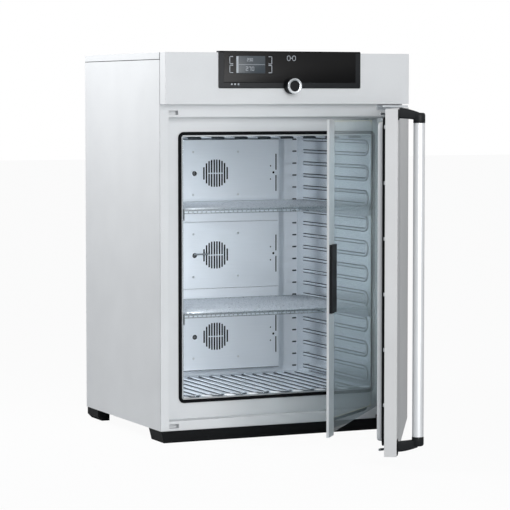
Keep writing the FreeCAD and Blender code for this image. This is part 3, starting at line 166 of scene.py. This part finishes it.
def torus(axis, centre, level, radius, wire, steps=64, around=8):
    """A wire ring: circles of radius R plus r times cosine, at level plus r times sine."""
    angle = np.arange(around) * 2 * np.pi / around
    rings = [circle(axis, centre, radius + wire * math.cos(a), level + wire * math.sin(a), steps)
             for a in angle]
    return loft(rings, wrap=True)


def joined(*shapes):
    """Several shapes as one list of vertices and faces."""
    verts, faces, start = [], [], 0
    for points, polygons in shapes:
        verts.append(points)
        faces += [tuple(index + start for index in polygon) for polygon in polygons]
        start += len(points)
    return np.concatenate(verts), faces


def hung(shape, door):
    """Swing a shape drawn on a closed door about the door's hinge line to where it stands open."""
    x, y, angle = HINGES[door]
    turn = math.radians(angle)
    points = shape[0].copy()
    across, deep = shape[0][:, 0] - x, shape[0][:, 1] - y
    points[:, 0] = x + across * math.cos(turn) - deep * math.sin(turn)
    points[:, 1] = y + across * math.sin(turn) + deep * math.cos(turn)
    return points, shape[1]


def piece(name, shape, body, material, replaces=(), crease=35):
    """Make a mesh from a shape, turn its faces outward, and let it ride on its body."""
    mesh = bpy.data.meshes.new(name)
    mesh.from_pydata((shape[0] * MM).tolist(), [], shape[1])
    solid = bmesh.new()
    solid.from_mesh(mesh)
    bmesh.ops.recalc_face_normals(solid, faces=solid.faces)
    solid.to_mesh(mesh)
    solid.free()
    mesh.shade_smooth()
    mesh.set_sharp_from_angle(angle=math.radians(crease))
    obj = bpy.data.objects.new(name, mesh)
    bpy.context.scene.collection.objects.link(obj)
    mesh.materials.append(material)
    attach(obj, body)
    if replaces:
        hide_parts(*replaces)
    return obj


# --------------------------------------------------------------- materials

def linear(colour):
    """sRGB hex to linear RGBA."""
    value = np.array([int(colour[i:i + 2], 16) / 255 for i in (1, 3, 5)])
    value = np.where(value <= 0.04045, value / 12.92, ((value + 0.055) / 1.055) ** 2.4)
    return (*value.tolist(), 1.0)


def node(tree, kind, settings=None, links=None):
    """Add one node, set its fields and sockets, and link its inputs."""
    made = tree.nodes.new(kind)
    for key, value in (settings or {}).items():
        if isinstance(key, str) and hasattr(made, key):
            setattr(made, key, value)
        else:
            made.inputs[key].default_value = value
    for key, source in (links or {}).items():
        tree.links.new(source, made.inputs[key])
    return made


def surface(name):
    """A new node material and its Principled shader."""
    material = bpy.data.materials.new(name)
    material.use_nodes = True
    return material, material.node_tree, material.node_tree.nodes["Principled BSDF"]


def finished(name, light, dark, grain, roughness, spread, bump=0.0, metallic=0.0, stretch=(1, 1, 1),
             edge=0.6, coat=0.0, ior=1.5, depth=0.1):
    """A sound base for most finishes, made from object coordinates.

    Fine noise of the given grain in millimetres moves the colour between two close tones and
    the roughness by a little, and lifts the surface by bump. Stretch pulls the grain into
    brush lines. Edges are eased by a small radius, as folded or moulded edges are.
    """
    material, tree, shader = surface(name)
    spot = node(tree, "ShaderNodeTexCoord")
    scale = tuple(1 / (grain * MM) * pull for pull in stretch)
    mapped = node(tree, "ShaderNodeMapping", {"Scale": scale}, {"Vector": spot.outputs["Object"]})
    noise = node(tree, "ShaderNodeTexNoise", {"Scale": 1.0, "Detail": 2.0}, {"Vector": mapped.outputs[0]})
    cloud = node(tree, "ShaderNodeTexNoise", {"Scale": 9.0, "Detail": 1.0},
                 {"Vector": spot.outputs["Object"]})
    both = node(tree, "ShaderNodeMath", {"operation": "MULTIPLY"},
                {0: noise.outputs[0], 1: cloud.outputs[0]})
    tone = node(tree, "ShaderNodeValToRGB", links={"Fac": both.outputs[0]})
    tone.color_ramp.elements[0].position, tone.color_ramp.elements[0].color = 0.1, linear(dark)
    tone.color_ramp.elements[1].position, tone.color_ramp.elements[1].color = 0.45, linear(light)
    rough = node(tree, "ShaderNodeMapRange", {"To Min": roughness - spread, "To Max": roughness + spread},
                 {"Value": noise.outputs[0]})
    eased = node(tree, "ShaderNodeBevel", {"samples": 4, "Radius": edge * MM})
    lifted = node(tree, "ShaderNodeBump", {"Strength": bump, "Distance": depth * MM},
                  {"Height": noise.outputs[0], "Normal": eased.outputs[0]})
    tree.links.new(tone.outputs[0], shader.inputs["Base Color"])
    tree.links.new(rough.outputs[0], shader.inputs["Roughness"])
    tree.links.new(lifted.outputs[0], shader.inputs["Normal"])
    shader.inputs["Metallic"].default_value = metallic
    shader.inputs["Coat Weight"].default_value = coat
    if not metallic:
        shader.inputs["IOR"].default_value = ior
    return material


# Structured powder coat on steel: even light grey, satin, with a fine orange peel.
POWDER = finished("powder_coated_steel", "#dfe1e3", "#d9dbdd", 1.6, 0.48, 0.04, bump=0.1, edge=0.9)
# The doors wear the same coat, made slightly cooler and darker: painted shade for the door face that stands
# away from the lamps.
SHADED_DOOR_POWDER = finished("powder_coat_painted_door_shade", "#c9cacb", "#c3c4c5", 1.6, 0.5, 0.04, bump=0.1, edge=1.0)
# Brushed stainless: cool grey, with fine lines that stretch highlights across the brushing.
STEEL_X = finished("brushed_stainless_across", "#e4eaf2", "#dee5ed", 2.0, 0.34, 0.02, metallic=0.35,
                   stretch=(0.02, 1, 1), edge=0.4)
STEEL_Y = finished("brushed_stainless_lengthwise", "#e6ebf0", "#e0e6eb", 2.0, 0.2, 0.02, metallic=0.85,
                   stretch=(1, 0.02, 1), edge=0.3)
# Painted shade: dull, dark steel-grey for the shade in the creases at the feet of the pressed ribs, where no
# light gets in, and for the other dark marks in the chamber.
PAINTED_SHADE = finished("painted_shade_dull_steel", "#333a40", "#2a3035", 1.5, 0.55, 0.04, ior=1.3, edge=0.2)
# Painted highlight: near-white pads at the turns of the ribs stand in for the glints on the steel.
PAINTED_GLINT = finished("painted_glint_stainless", "#fbfdff", "#f4f7fa", 2.0, 0.2, 0.02, ior=2.2, edge=0.3)
# Drawn stainless wire: smoother than sheet, with short bright highlights.
WIRE = finished("drawn_stainless_wire", "#b4babf", "#abb1b7", 3.0, 0.28, 0.04, metallic=0.8, edge=0.3)
# Vacuum-formed light grey sheet: matt, with edges rounded by the forming.
LINING = finished("vacuum_formed_abs", "#c9cccf", "#c2c5c8", 2.5, 0.5, 0.05, bump=0.08, edge=1.5)
# Extruded rubber: near black with a dusty, broad highlight.
RUBBER = finished("extruded_epdm_rubber", "#0f1114", "#0a0b0d", 1.5, 0.75, 0.05, bump=0.08, ior=1.2, edge=0.5)
# Baked black enamel on steel bars.
BLACK_PAINT = finished("black_enamelled_steel", "#101214", "#0b0c0e", 1.8, 0.6, 0.05, bump=0.08, ior=1.22,
                       edge=1.2)
# Bright zinc plate on stamped steel: pale, with a faint mottled spangle.
ZINC = finished("bright_zinc_plate", "#dcdfe2", "#c9ced3", 4.0, 0.33, 0.07, bump=0.05, metallic=1.0, edge=0.5)
# Satin anodised aluminium: even and pale, drawn along its length.
ANODISED = finished("satin_anodised_aluminium", "#dadddf", "#cfd3d6", 1.2, 0.36, 0.05, bump=0.04,
                    metallic=0.85, stretch=(1, 1, 0.03), edge=0.5)
# The grip tube is brighter: polished before anodising.
GRIP_TUBE = finished("bright_anodised_aluminium", "#e2e4e6", "#dcdee0", 1.2, 0.4, 0.04, metallic=0.6,
                     stretch=(1, 1, 0.03), edge=0.5)
# Die-cast brackets in black paint: satin, with a soft sparkle.
CAST = finished("black_painted_zinc_casting", "#16181a", "#101214", 0.9, 0.5, 0.05, bump=0.1, ior=1.28,
                edge=1.0)
# Injection-moulded black plastic: fine texture, weak sheen.
BLACK_PLASTIC = finished("moulded_black_polyamide", "#141618", "#0e1012", 1.0, 0.6, 0.06, bump=0.1, ior=1.25,
                         edge=0.8)
# Back-painted front pane: deep black under a polished surface.
PANEL_PANE = finished("back_painted_black_pane", "#060607", "#050506", 30.0, 0.3, 0.02, ior=1.26, edge=0.4)
# Satin black frame round the pane, a little lighter than the pane.
BEZEL = finished("satin_black_bezel", "#1c1e21", "#17191c", 1.0, 0.45, 0.04, bump=0.05, ior=1.3, edge=0.8)
# Display under its cover glass: an even slate grey.
DISPLAY = finished("display_cover_glass", "#3b444b", "#353e45", 40.0, 0.3, 0.02, edge=0.3)
# Screen print in light grey ink.
INK = finished("light_grey_screen_print", "#b9bec5", "#aab0b7", 1.0, 0.5, 0.05, edge=0.1)
# Turned and bead-blasted metal with a bright cut rim.
KNOB = finished("turned_aluminium_knob", "#dfe2e4", "#c8ccd0", 0.8, 0.26, 0.05, metallic=1.0, edge=0.5)
# Soft-touch lacquer on the knob's middle.
SOFT_TOUCH = finished("soft_touch_lacquer", "#101214", "#0c0e10", 1.0, 0.6, 0.05, bump=0.04, ior=1.3,
                      edge=0.6)
# Rigid foam, pale yellow and pitted.
FOAM = finished("rigid_polyurethane_foam", "#e8dfbd", "#d6cba2", 2.0, 0.85, 0.05, bump=0.4, edge=0.5)
# Green solder lacquer over copper.
BOARD = finished("lacquered_circuit_board", "#2f5a40", "#234632", 3.0, 0.4, 0.08, bump=0.1, edge=0.3)


def glass():
    """Toughened float glass: clear, green-grey in depth, with sharp reflections.

    The tinted colour deepens evenly from the middle of the pane down to its foot: painted shade
    for the shadow that the open doors cast on the frame behind the lower pane. Shadow rays pass
    through a lightly tinted layer, so what stands behind the pane stays lit.
    """
    material, tree, shader = surface("toughened_float_glass")
    spot = node(tree, "ShaderNodeTexCoord")
    parts = node(tree, "ShaderNodeSeparateXYZ", links={0: spot.outputs["Object"]})
    # Painted shade: the colour darkens from half the pane's height down to its foot.
    shade_rise = node(tree, "ShaderNodeMapRange", {"From Min": 0.1, "From Max": 0.5},
                {"Value": parts.outputs[2]})
    tint_and_shade = node(tree, "ShaderNodeValToRGB", links={"Fac": shade_rise.outputs[0]})
    tint_and_shade.color_ramp.elements[0].color = linear("#b4bec1")
    tint_and_shade.color_ramp.elements[1].color = linear("#dfe8ea")
    tree.links.new(tint_and_shade.outputs[0], shader.inputs["Base Color"])
    shader.inputs["Roughness"].default_value = 0.0
    shader.inputs["IOR"].default_value = 1.45
    shader.inputs["Transmission Weight"].default_value = 1.0
    path = node(tree, "ShaderNodeLightPath")
    clear = node(tree, "ShaderNodeBsdfTransparent", {"Color": linear("#d9e3e6")})
    output = tree.nodes["Material Output"]
    mixed = node(tree, "ShaderNodeMixShader",
                 links={0: path.outputs["Is Shadow Ray"], 1: shader.outputs[0], 2: clear.outputs[0]})
    tree.links.new(mixed.outputs[0], output.inputs[0])
    return material


GLASS = glass()

NODE_FINISH = {
    "left_side_panel": POWDER, "right_side_panel": POWDER, "top_cover": POWDER, "rear_panel": POWDER,
    "base_plate": POWDER, "front_frame": POWDER, "control_head": POWDER, "electronics_tray": POWDER,
    "module_covers": POWDER, "latch_keepers": POWDER, "door_skin": SHADED_DOOR_POWDER,
    "insulation": FOAM, "door_insulation": FOAM,
    "chamber_left_wall": STEEL_Y, "chamber_right_wall": STEEL_Y, "chamber_ceiling": STEEL_Y,
    "chamber_floor": STEEL_Y, "chamber_back_wall": STEEL_X, "upper_air_panel": STEEL_X,
    "middle_air_panel": STEEL_X, "lower_air_panel": STEEL_X, "air_panel_screws": ZINC,
    "temperature_sensor": WIRE, "upper_shelf": WIRE, "lower_shelf": WIRE,
    "chamber_gasket": RUBBER, "door_seal": RUBBER, "front_foot_bar": BLACK_PAINT, "rear_feet": BLACK_PAINT,
    "panel_bezel": BEZEL, "panel_glass": PANEL_PANE, "display_module": DISPLAY, "control_board": BOARD,
    "power_supply": ZINC, "cold_sinks": ANODISED, "warm_sinks": ANODISED, "peltier_elements": BOARD,
    "fan_motors": BLACK_PLASTIC, "upper_hinge_plate": ZINC, "lower_hinge_plate": BLACK_PAINT,
    "rear_sockets": BLACK_PLASTIC, "upper_fan": BLACK_PLASTIC, "middle_fan": BLACK_PLASTIC,
    "lower_fan": BLACK_PLASTIC, "upper_rear_fan": BLACK_PLASTIC, "middle_rear_fan": BLACK_PLASTIC,
    "lower_rear_fan": BLACK_PLASTIC, "knob_ring": KNOB, "knob_cap": SOFT_TOUCH, "door_lining": LINING,
    "handle_bases": BLACK_PLASTIC, "handle_bar": GRIP_TUBE, "upper_handle_bracket": CAST,
    "lower_handle_bracket": CAST, "latch_rod": ZINC, "glass_pane": GLASS, "glass_edge_profile": ANODISED,
    "glass_door_grip": BLACK_PLASTIC, "glass_hinge_clamps": ZINC,
}
for name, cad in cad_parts.items():
    cad.data.materials.clear()
    cad.data.materials.append(NODE_FINISH[name])


# ------------------------------------------------------------------ pieces

def seals():
    """The chamber's bulb gasket and the outer door's bellows seal."""
    bulb = [(0.6, 45), (9.9, 45), (10.4, 43), (10.2, 40), (8.8, 37.4), (5.3, 36.1), (1.8, 37.4), (0.3, 40),
            (0.1, 43)]
    piece("chamber_bulb_gasket", frame_strip("y", (0, 528), (324.5, 404.5), 7.5, bulb),
          "cabinet", RUBBER, ["chamber_gasket"], crease=60)
    bellows = [(1.5, -9), (12.5, -9), (13.6, -7.6), (12.4, -5.6), (13.4, -3.4), (12.2, -0.9), (9, -0.35),
               (5, -0.35), (1.8, -0.9), (0.6, -3.4), (1.6, -5.6), (0.4, -7.6)]
    band = frame_strip("y", (0, 525), (378, 453), 20, bellows)
    piece("door_bellows_seal", hung(band, "outer_door"), "outer_door", RUBBER, ["door_seal"],
          crease=60)


def lining():
    """The white door lining: a flat rim that rises into a plug with formed, rounded edges."""
    rim, plug = (-3, 525.25), (0, 525)
    rings = [
        (rim, (407.6, 488.9), 2, -10.5), (rim, (407.6, 488.9), 2, -9.4), (rim, (407.2, 488.5), 1.6, -9.05),
        (plug, (382, 457), 24, -9.0), (plug, (379.8, 454.8), 22, -8.6), (plug, (378.4, 453.4), 20, -7.2),
        (plug, (377.9, 452.9), 20, -5), (plug, (377.2, 452.2), 19.5, 7.0), (plug, (376, 451), 18.5, 10.4),
        (plug, (373.9, 448.9), 16.5, 12.7), (plug, (371.4, 446.4), 14, 13.5),
    ]
    shape = loft([rounded_ring("y", *ring) for ring in rings])
    piece("formed_door_lining", hung(shape, "outer_door"), "outer_door", LINING,
          ["door_lining"])
    slots = [block("y", (-390, -9.4, level - 4.5), (-352, -8.9, level + 4.5), 4.4, 0.2)
             for level in (1001.5, 49.5)]
    piece("hook_slot_trims", hung(joined(*slots), "outer_door"), "outer_door", BLACK_PLASTIC)
    clips = [block("y", (-400.5, -9.1, level - 5), (-393.5, -5.2, level + 5), 2.5, 1.2)
             for level in np.arange(965, 90, -157)]
    piece("seal_clips", hung(joined(*clips), "outer_door"), "outer_door", LINING)


def handle():
    """The grip tube with its end plugs, the two cast brackets and their base plates.

    The foot of each bracket is relieved, so that it clears its base plate through a turn of
    thirty degrees: distance times cosine less offset times sine stays over the plate.
    """
    wall = [(14.2, 91), (15.4, 90.9), (16.2, 91.8), (16.2, 976.2), (15.4, 977), (14.2, 977)]
    piece("grip_tube", hung(lathe("z", (LATCH_X, BAR_Y), wall, wrap=True), "outer_door"),
          "handle", GRIP_TUBE, ["handle_bar"])
    swing = math.radians(HANDLE_TURN)
    upper_crown = [(16.6, 976.8), (16.9, 978), (16.9, 999), (15.6, 1002.8), (12, 1005), (0, 1005.4)]
    lower_crown = [(16.6, 91.2), (16.9, 90), (16.9, 71), (15.6, 67.2), (12, 65), (0, 64.6)]
    for name, foot, tip, crown in (
        ("upper", (989, 1019), (984, 1006), upper_crown),
        ("lower", (48, 78), (62, 85), lower_crown),
    ):
        rings = []
        for along in np.linspace(0, 1, 9):
            curve = along ** 1.6
            low = foot[0] + (tip[0] - foot[0]) * curve
            high = foot[1] + (tip[1] - foot[1]) * curve
            wide = 11 + 2.5 * curve
            half = (wide, (high - low) / 2)
            ring = rounded_ring("y", (LATCH_X, (low + high) / 2), half, 5, -47.8 - 55.5 * along)
            reach = (PLATE_CLEAR + (ring[:, 0] - LATCH_X) * math.sin(swing)) / math.cos(swing)
            ring[:, 1] = np.minimum(ring[:, 1], LATCH_Y - reach)
            rings.append(ring)
        shape = joined(loft(rings), lathe("z", (LATCH_X, BAR_Y), crown))
        piece(f"{name}_cast_bracket", hung(shape, "outer_door"), "handle", CAST,
              [f"{name}_handle_bracket"], crease=50)
    plates = [block("y", (-411, -47.3, 984.5), (-366, -44.25, 1014.5), 5, 1.2),
              block("y", (-411, -47.3, 38), (-366, -44.25, 82), 5, 1.2)]
    piece("handle_base_plates", hung(joined(*plates), "outer_door"), "outer_door", BLACK_PLASTIC,
          ["handle_bases"])


def controls():
    """The black panel, its pane, display, printed marks and the silver knob."""
    board = block("y", (-240, -48, 1075), (240, -44.3, 1188), 4, 0.8)
    lip = block("z", (-240, -48, 1183), (240, -28.3, 1188), 3, 0.8)
    piece("panel_frame", joined(board, lip), "cabinet", BEZEL, ["panel_bezel"])
    pane = block("y", (-223, -48.8, 1092), (223, -47.9, 1186), 3, 0.4)
    piece("panel_pane", pane, "cabinet", PANEL_PANE, ["panel_glass"])
    window = block("y", (-183, -49.1, 1120.5), (-86, -48.7, 1173), 2, 0.2)
    piece("display_window", window, "cabinet", DISPLAY, ["display_module"])
    marks = []

    def mark(x0, x1, z0, z1):
        """One printed bar on the pane."""
        marks.append(block("y", (x0, -49.35, z0), (x1, -48.75, z1), 0.4, 0.1))

    def corner(x0, x1, z0, z1, upright):
        """Two short bars joined by an upright one, as a bracket beside the display."""
        mark(x0, x1, z0, z0 + 2)
        mark(x0, x1, z1 - 2, z1)
        mark(upright, upright + 2, z0, z1)

    def digit(left, low, size, lit):
        """One figure of seven bars: top, two upper sides, middle, two lower sides, foot."""
        wide, thick = size * 0.55, size * 0.16
        bars = ((0, 2, 1, 2), (0, 1, 0, 2), (1, 1, 1, 2), (0, 1, 1, 1), (0, 0, 0, 1), (1, 0, 1, 1),
                (0, 0, 1, 0))
        for (x0, z0, x1, z1), shown in zip(bars, lit):
            if shown == "1":
                mark(left + x0 * wide, left + x1 * wide + thick,
                     low + z0 * size / 2, low + z1 * size / 2 + thick)

    for low in (1121.5, 1148):
        corner(-205, -193, low, low + 24, -205)
        corner(-75, -63, low, low + 24, -65)
    mark(-182, -175.5, 1121.5, 1172)
    mark(-174, -87, 1146.4, 1147.4)
    for left, figure in ((-147, "1011101"), (-140, "1011011"), (-133, "1110111")):
        digit(left, 1157, 8, figure)
    for left, figure in ((-151, "1011101"), (-141, "1010010"), (-131, "1110111")):
        digit(left, 1128, 11, figure)
    for step in range(3):
        mark(-200 + 11 * step, -195 + 11 * step, 1085, 1090)
    mark(-1.5, 5.5, 1166, 1168)
    band = [(0, -49.35), (1.6, -49.35), (1.6, -48.75), (0, -48.75)]
    for middle in (-7, 11):
        marks.append(frame_strip("y", (middle, 1167), (4.4, 6.4), 4.0, band))
    piece("panel_marks", joined(*marks), "cabinet", INK)
    side = [(22.6, -49), (24, -50.2), (24, -77.0), (15.9, -77.0), (15.9, -57.4), (3, -57.2), (3, -49)]
    piece("knob_shell", lathe("y", KNOB_AT, side, wrap=True), "knob", BLACK_PLASTIC,
          ["knob_ring"])
    lip = [(24, -76.9), (24, -78.6), (23.2, -79.8), (18, -79.9), (16.6, -79.4), (16.1, -78.6), (15.95, -77.0)]
    piece("knob_front_ring", lathe("y", KNOB_AT, lip, wrap=True), "knob", KNOB)
    cap = [(15.3, -59.2), (15.45, -77.0), (14.8, -78.1), (12, -78.3), (0, -77.8)]
    piece("knob_middle", lathe("y", KNOB_AT, cap), "knob_cap", SOFT_TOUCH, ["knob_cap"])


def rear_details():
    """Wire finger guards over the rear fans, and screws round the covers."""
    guards, screws = [], []
    head = [(3.4, 727.9), (3.4, 729), (2.4, 729.7), (0, 729.9)]
    for level in MODULE_Z:
        guards += [torus("y", (BLOCK_X, level), 728, radius, 0.9) for radius in (20, 29, 38, 47, 56)]
        for x in (-196, 210):
            for z in (-108, 108):
                screws.append(lathe("y", (x, level + z), head, steps=16))
    piece("fan_finger_guards", joined(*guards), "cabinet", ZINC)
    piece("cover_screws", joined(*screws), "cabinet", ZINC)


def ridge_outline(axis, centre, spread, level, radius):
    """Painted shade lines round one pressed rib, shaped as a hairpin that opens to the back of the chamber.

    The rib runs forward, turns through half a circle of radius half its spread, and runs back.
    Each shade line is a thin tube on that line, moved in or out by the rib's own radius.
    """
    tubes = []
    turn = np.linspace(0, np.pi, 15)
    for side in (-1, 1):
        reach = spread / 2 + side * RIB_EDGE
        across = np.concatenate([[-reach], -reach * np.cos(turn), [reach]])
        deep = np.concatenate([[RIB_REAR], RIB_FRONT - reach * np.sin(turn), [RIB_REAR]])
        normal = np.stack([np.concatenate([[-1], -np.cos(turn), [1]]),
                           np.concatenate([[0], -np.sin(turn), [0]])], axis=1)
        around = np.arange(6) * np.pi / 3
        wide = radius * np.cos(around)[None, :]
        line_across = centre + across[:, None] + normal[:, :1] * wide
        line_deep = deep[:, None] + normal[:, 1:] * wide
        line_level = np.broadcast_to(level + radius * np.sin(around)[None, :], line_deep.shape)
        order = {"x": (line_level, line_deep, line_across), "z": (line_across, line_deep, line_level)}[axis]
        tubes.append(loft(np.stack(order, axis=-1)))
    return joined(*tubes)


def lens(axis, centre, level, half):
    """A flat pad with three half lengths: across, up and along the axis.

    At each angle of a half circle the outline shrinks with the sine and moves along the axis
    with the cosine.
    """
    rings = []
    for angle in np.linspace(0, np.pi, 9):
        wide, tall = (max(size * np.sin(angle), 0.05) for size in half[:2])
        corner = max(min(half[:2]) * np.sin(angle), 0.05) * 0.98
        rings.append(rounded_ring(axis, centre, (wide, tall), corner, level - half[2] * np.cos(angle)))
    return loft(rings)


def chamber_details():
    """Painted shade and reflections round the ribs and the air panels, and painted glints at the turns of the
    ribs.
    """
    hairpins = CHAMBER_LOW + (2 * np.arange(SIDE_RIBS) + 1) * SIDE_RIB_PITCH / 2
    floor_rows = (np.arange(FLOOR_RIBS) - (FLOOR_RIBS - 1) / 2) * FLOOR_RIB_PITCH
    # Painted shade: dark tubes along both feet of every rib on the side walls, the floor and the ceiling.
    sides = [ridge_outline("x", height, 40, side * CHAMBER_SIDE, 1.7)
             for height in hairpins for side in (-1, 1)]
    piece("side_rib_painted_shade", joined(*sides), "cabinet", PAINTED_SHADE, crease=60)
    floors = [ridge_outline("z", across, 39, level, 1.9)
              for across in floor_rows for level in (CHAMBER_LOW + 0.3, CHAMBER_HIGH - 0.3)]
    piece("floor_rib_painted_shade", joined(*floors), "cabinet", PAINTED_SHADE, crease=60)
    # Painted shade: dark discs, rings and strips just behind the air panels darken what shows through their
    # openings.
    near, far = BACKING
    discs = []
    for level in MODULE_Z:
        discs.append(lathe("y", (MODULE_X, level), [(0, near), (49, near), (49, far), (0, far)]))
        ring = [(5, near), (8.6, near), (8.6, far), (5, far)]
        discs.append(lathe("y", (MODULE_X - 75.5, level), ring, wrap=True))
        discs.append(block("y", (199, near, level - 66), (232, far, level + 66), 2, 0.2))
    piece("panel_backing_painted_shade", joined(*discs), "cabinet", RUBBER, crease=60)
    # Painted highlights: pale pads at the ribs' turns on the side walls and across the front of the floor.
    turns = [lens("x", (RIB_TURN, height), side * 319.9, (4.5, 15, 1.6))
             for height in hairpins for side in (-1, 1)]
    turns += [lens("z", ((step - 4) * 77.5, 60), CHAMBER_LOW + 0.4, (15, 21, 2.2)) for step in range(9)]
    piece("rib_turn_painted_glints", joined(*turns), "cabinet", PAINTED_GLINT, crease=60)
    # Painted shade: dark lenses under the front ends of the ceiling ribs.
    shades = [lens("y", (across, CHAMBER_HIGH - 5), 60, (23, 3.4, 6)) for across in floor_rows]
    # Painted reflection: dark marks on the back wall beside the side walls, level with each rib line.
    rows = CHAMBER_LOW + SIDE_RIB_PITCH / 4 + np.arange(2 * SIDE_RIBS) * SIDE_RIB_PITCH / 2
    shades += [lens("y", (side * 296, height), 541.9, (8, 2.4, 0.8)) for height in rows for side in (-1, 1)]
    # Painted shade: dark lines along the folds of the air panels.
    for level in MODULE_Z:
        for fold in (-111, 111):
            middle = level + fold
            shades.append(block("y", (-311, 541.5, middle - 0.8), (238, 542.2, middle + 0.8), 0.5, 0.2))
    piece("chamber_painted_shade_and_reflections", joined(*shades), "cabinet", PAINTED_SHADE, crease=60)


def seams():
    """Dark rebates in the joints between the lid, the side panels and the head."""
    strips = [block("z", (side - 0.4, 4, 1160.9), (side + 0.4, 640, 1162.5), 0.3, 0.2)
              for side in (-411.2, 411.2)]
    piece("lid_seams", joined(*strips), "cabinet", RUBBER, crease=60)


for make in (seals, lining, handle, controls, rear_details, chamber_details, seams):
    make()


# ------------------------------------------------------- studio and camera

def studio():
    """A pale floor, a bright even surround, soft lamps outside and one lit strip in the chamber."""
    floor_mesh = bpy.data.meshes.new("studio_floor")
    corners = [(x * FLOOR_SIDE, y * FLOOR_SIDE, 0) for x, y in ((-1, -1), (1, -1), (1, 1), (-1, 1))]
    floor_mesh.from_pydata(corners, [], [(0, 1, 2, 3)])
    floor = bpy.data.objects.new("studio_floor", floor_mesh)
    bpy.context.scene.collection.objects.link(floor)
    material, tree, shader = surface("matt_white_floor")
    shader.inputs["Base Color"].default_value = linear("#cdcecf")
    shader.inputs["Roughness"].default_value = 0.9
    glow = node(tree, "ShaderNodeEmission", {"Color": (1, 1, 1, 1), "Strength": 1.0})
    path = node(tree, "ShaderNodeLightPath")
    share = node(tree, "ShaderNodeMath", {"operation": "MULTIPLY", 1: 0.95},
                 {0: path.outputs["Is Camera Ray"]})
    mixed = node(tree, "ShaderNodeMixShader",
                 links={0: share.outputs[0], 1: shader.outputs[0], 2: glow.outputs[0]})
    tree.links.new(mixed.outputs[0], tree.nodes["Material Output"].inputs[0])
    floor_mesh.materials.append(material)

    world = bpy.data.worlds.new("studio_surround")
    bpy.context.scene.world = world
    world.use_nodes = True
    tree = world.node_tree
    background = tree.nodes["Background"]
    background.inputs["Color"].default_value = linear("#eef2f6")
    background.inputs["Strength"].default_value = 0.31
    white = node(tree, "ShaderNodeBackground", {"Color": (1, 1, 1, 1), "Strength": 1.0})
    path = node(tree, "ShaderNodeLightPath")
    through = node(tree, "ShaderNodeMath", {"operation": "MAXIMUM"},
                   {0: path.outputs["Is Glossy Ray"], 1: path.outputs["Is Transmission Ray"]})
    seen = node(tree, "ShaderNodeMath", {"operation": "MAXIMUM"},
                {0: path.outputs["Is Camera Ray"], 1: through.outputs[0]})
    mixed = node(tree, "ShaderNodeMixShader",
                 links={0: seen.outputs[0], 1: background.outputs[0], 2: white.outputs[0]})
    tree.links.new(mixed.outputs[0], tree.nodes["World Output"].inputs[0])

    for name, spot, aim, size, power in (
        ("left_softbox", (-1.5, 0.45, 2.15), (-0.41, 0.3, 1.0), (0.7, 0.7), 31),
        ("front_softbox", (-0.6, -4.4, 1.7), (0.0, 0.2, 0.6), (2.4, 2.4), 98),
        ("fill_softbox", (0.1, -4.4, 1.2), (0.0, 0.2, 0.6), (1.0, 1.0), 26),
        ("chamber_strip", (-0.28, 0.075, 0.53), (0.12, 0.54, 0.53), (0.04, 0.7), 3.3),
    ):
        lamp = bpy.data.lights.new(name, "AREA")
        lamp.shape = "RECTANGLE"
        lamp.size, lamp.size_y = size
        lamp.energy = power
        holder = bpy.data.objects.new(name, lamp)
        holder.location = spot
        holder.rotation_euler = (Vector(aim) - Vector(spot)).to_track_quat("-Z", "Y").to_euler()
        # The strip stands inside the chamber's front corner, so it gives light but isn't seen itself.
        holder.visible_camera = holder.visible_glossy = name != "chamber_strip"
        bpy.context.scene.collection.objects.link(holder)


def camera():
    """A long lens, turned a quarter of a right angle to the right and a little down."""
    data = bpy.data.cameras.new("camera")
    data.sensor_width = 36
    data.lens = 164.315
    view = bpy.data.objects.new("camera", data)
    view.location = (-3.0751, -6.48925, 1.05065)
    view.rotation_euler = (math.radians(90 - 3.8974), 0, math.radians(-24.6455))
    bpy.context.scene.collection.objects.link(view)
    bpy.context.scene.camera = view
    bpy.context.scene.view_settings.view_transform = "Standard"


studio()
camera()
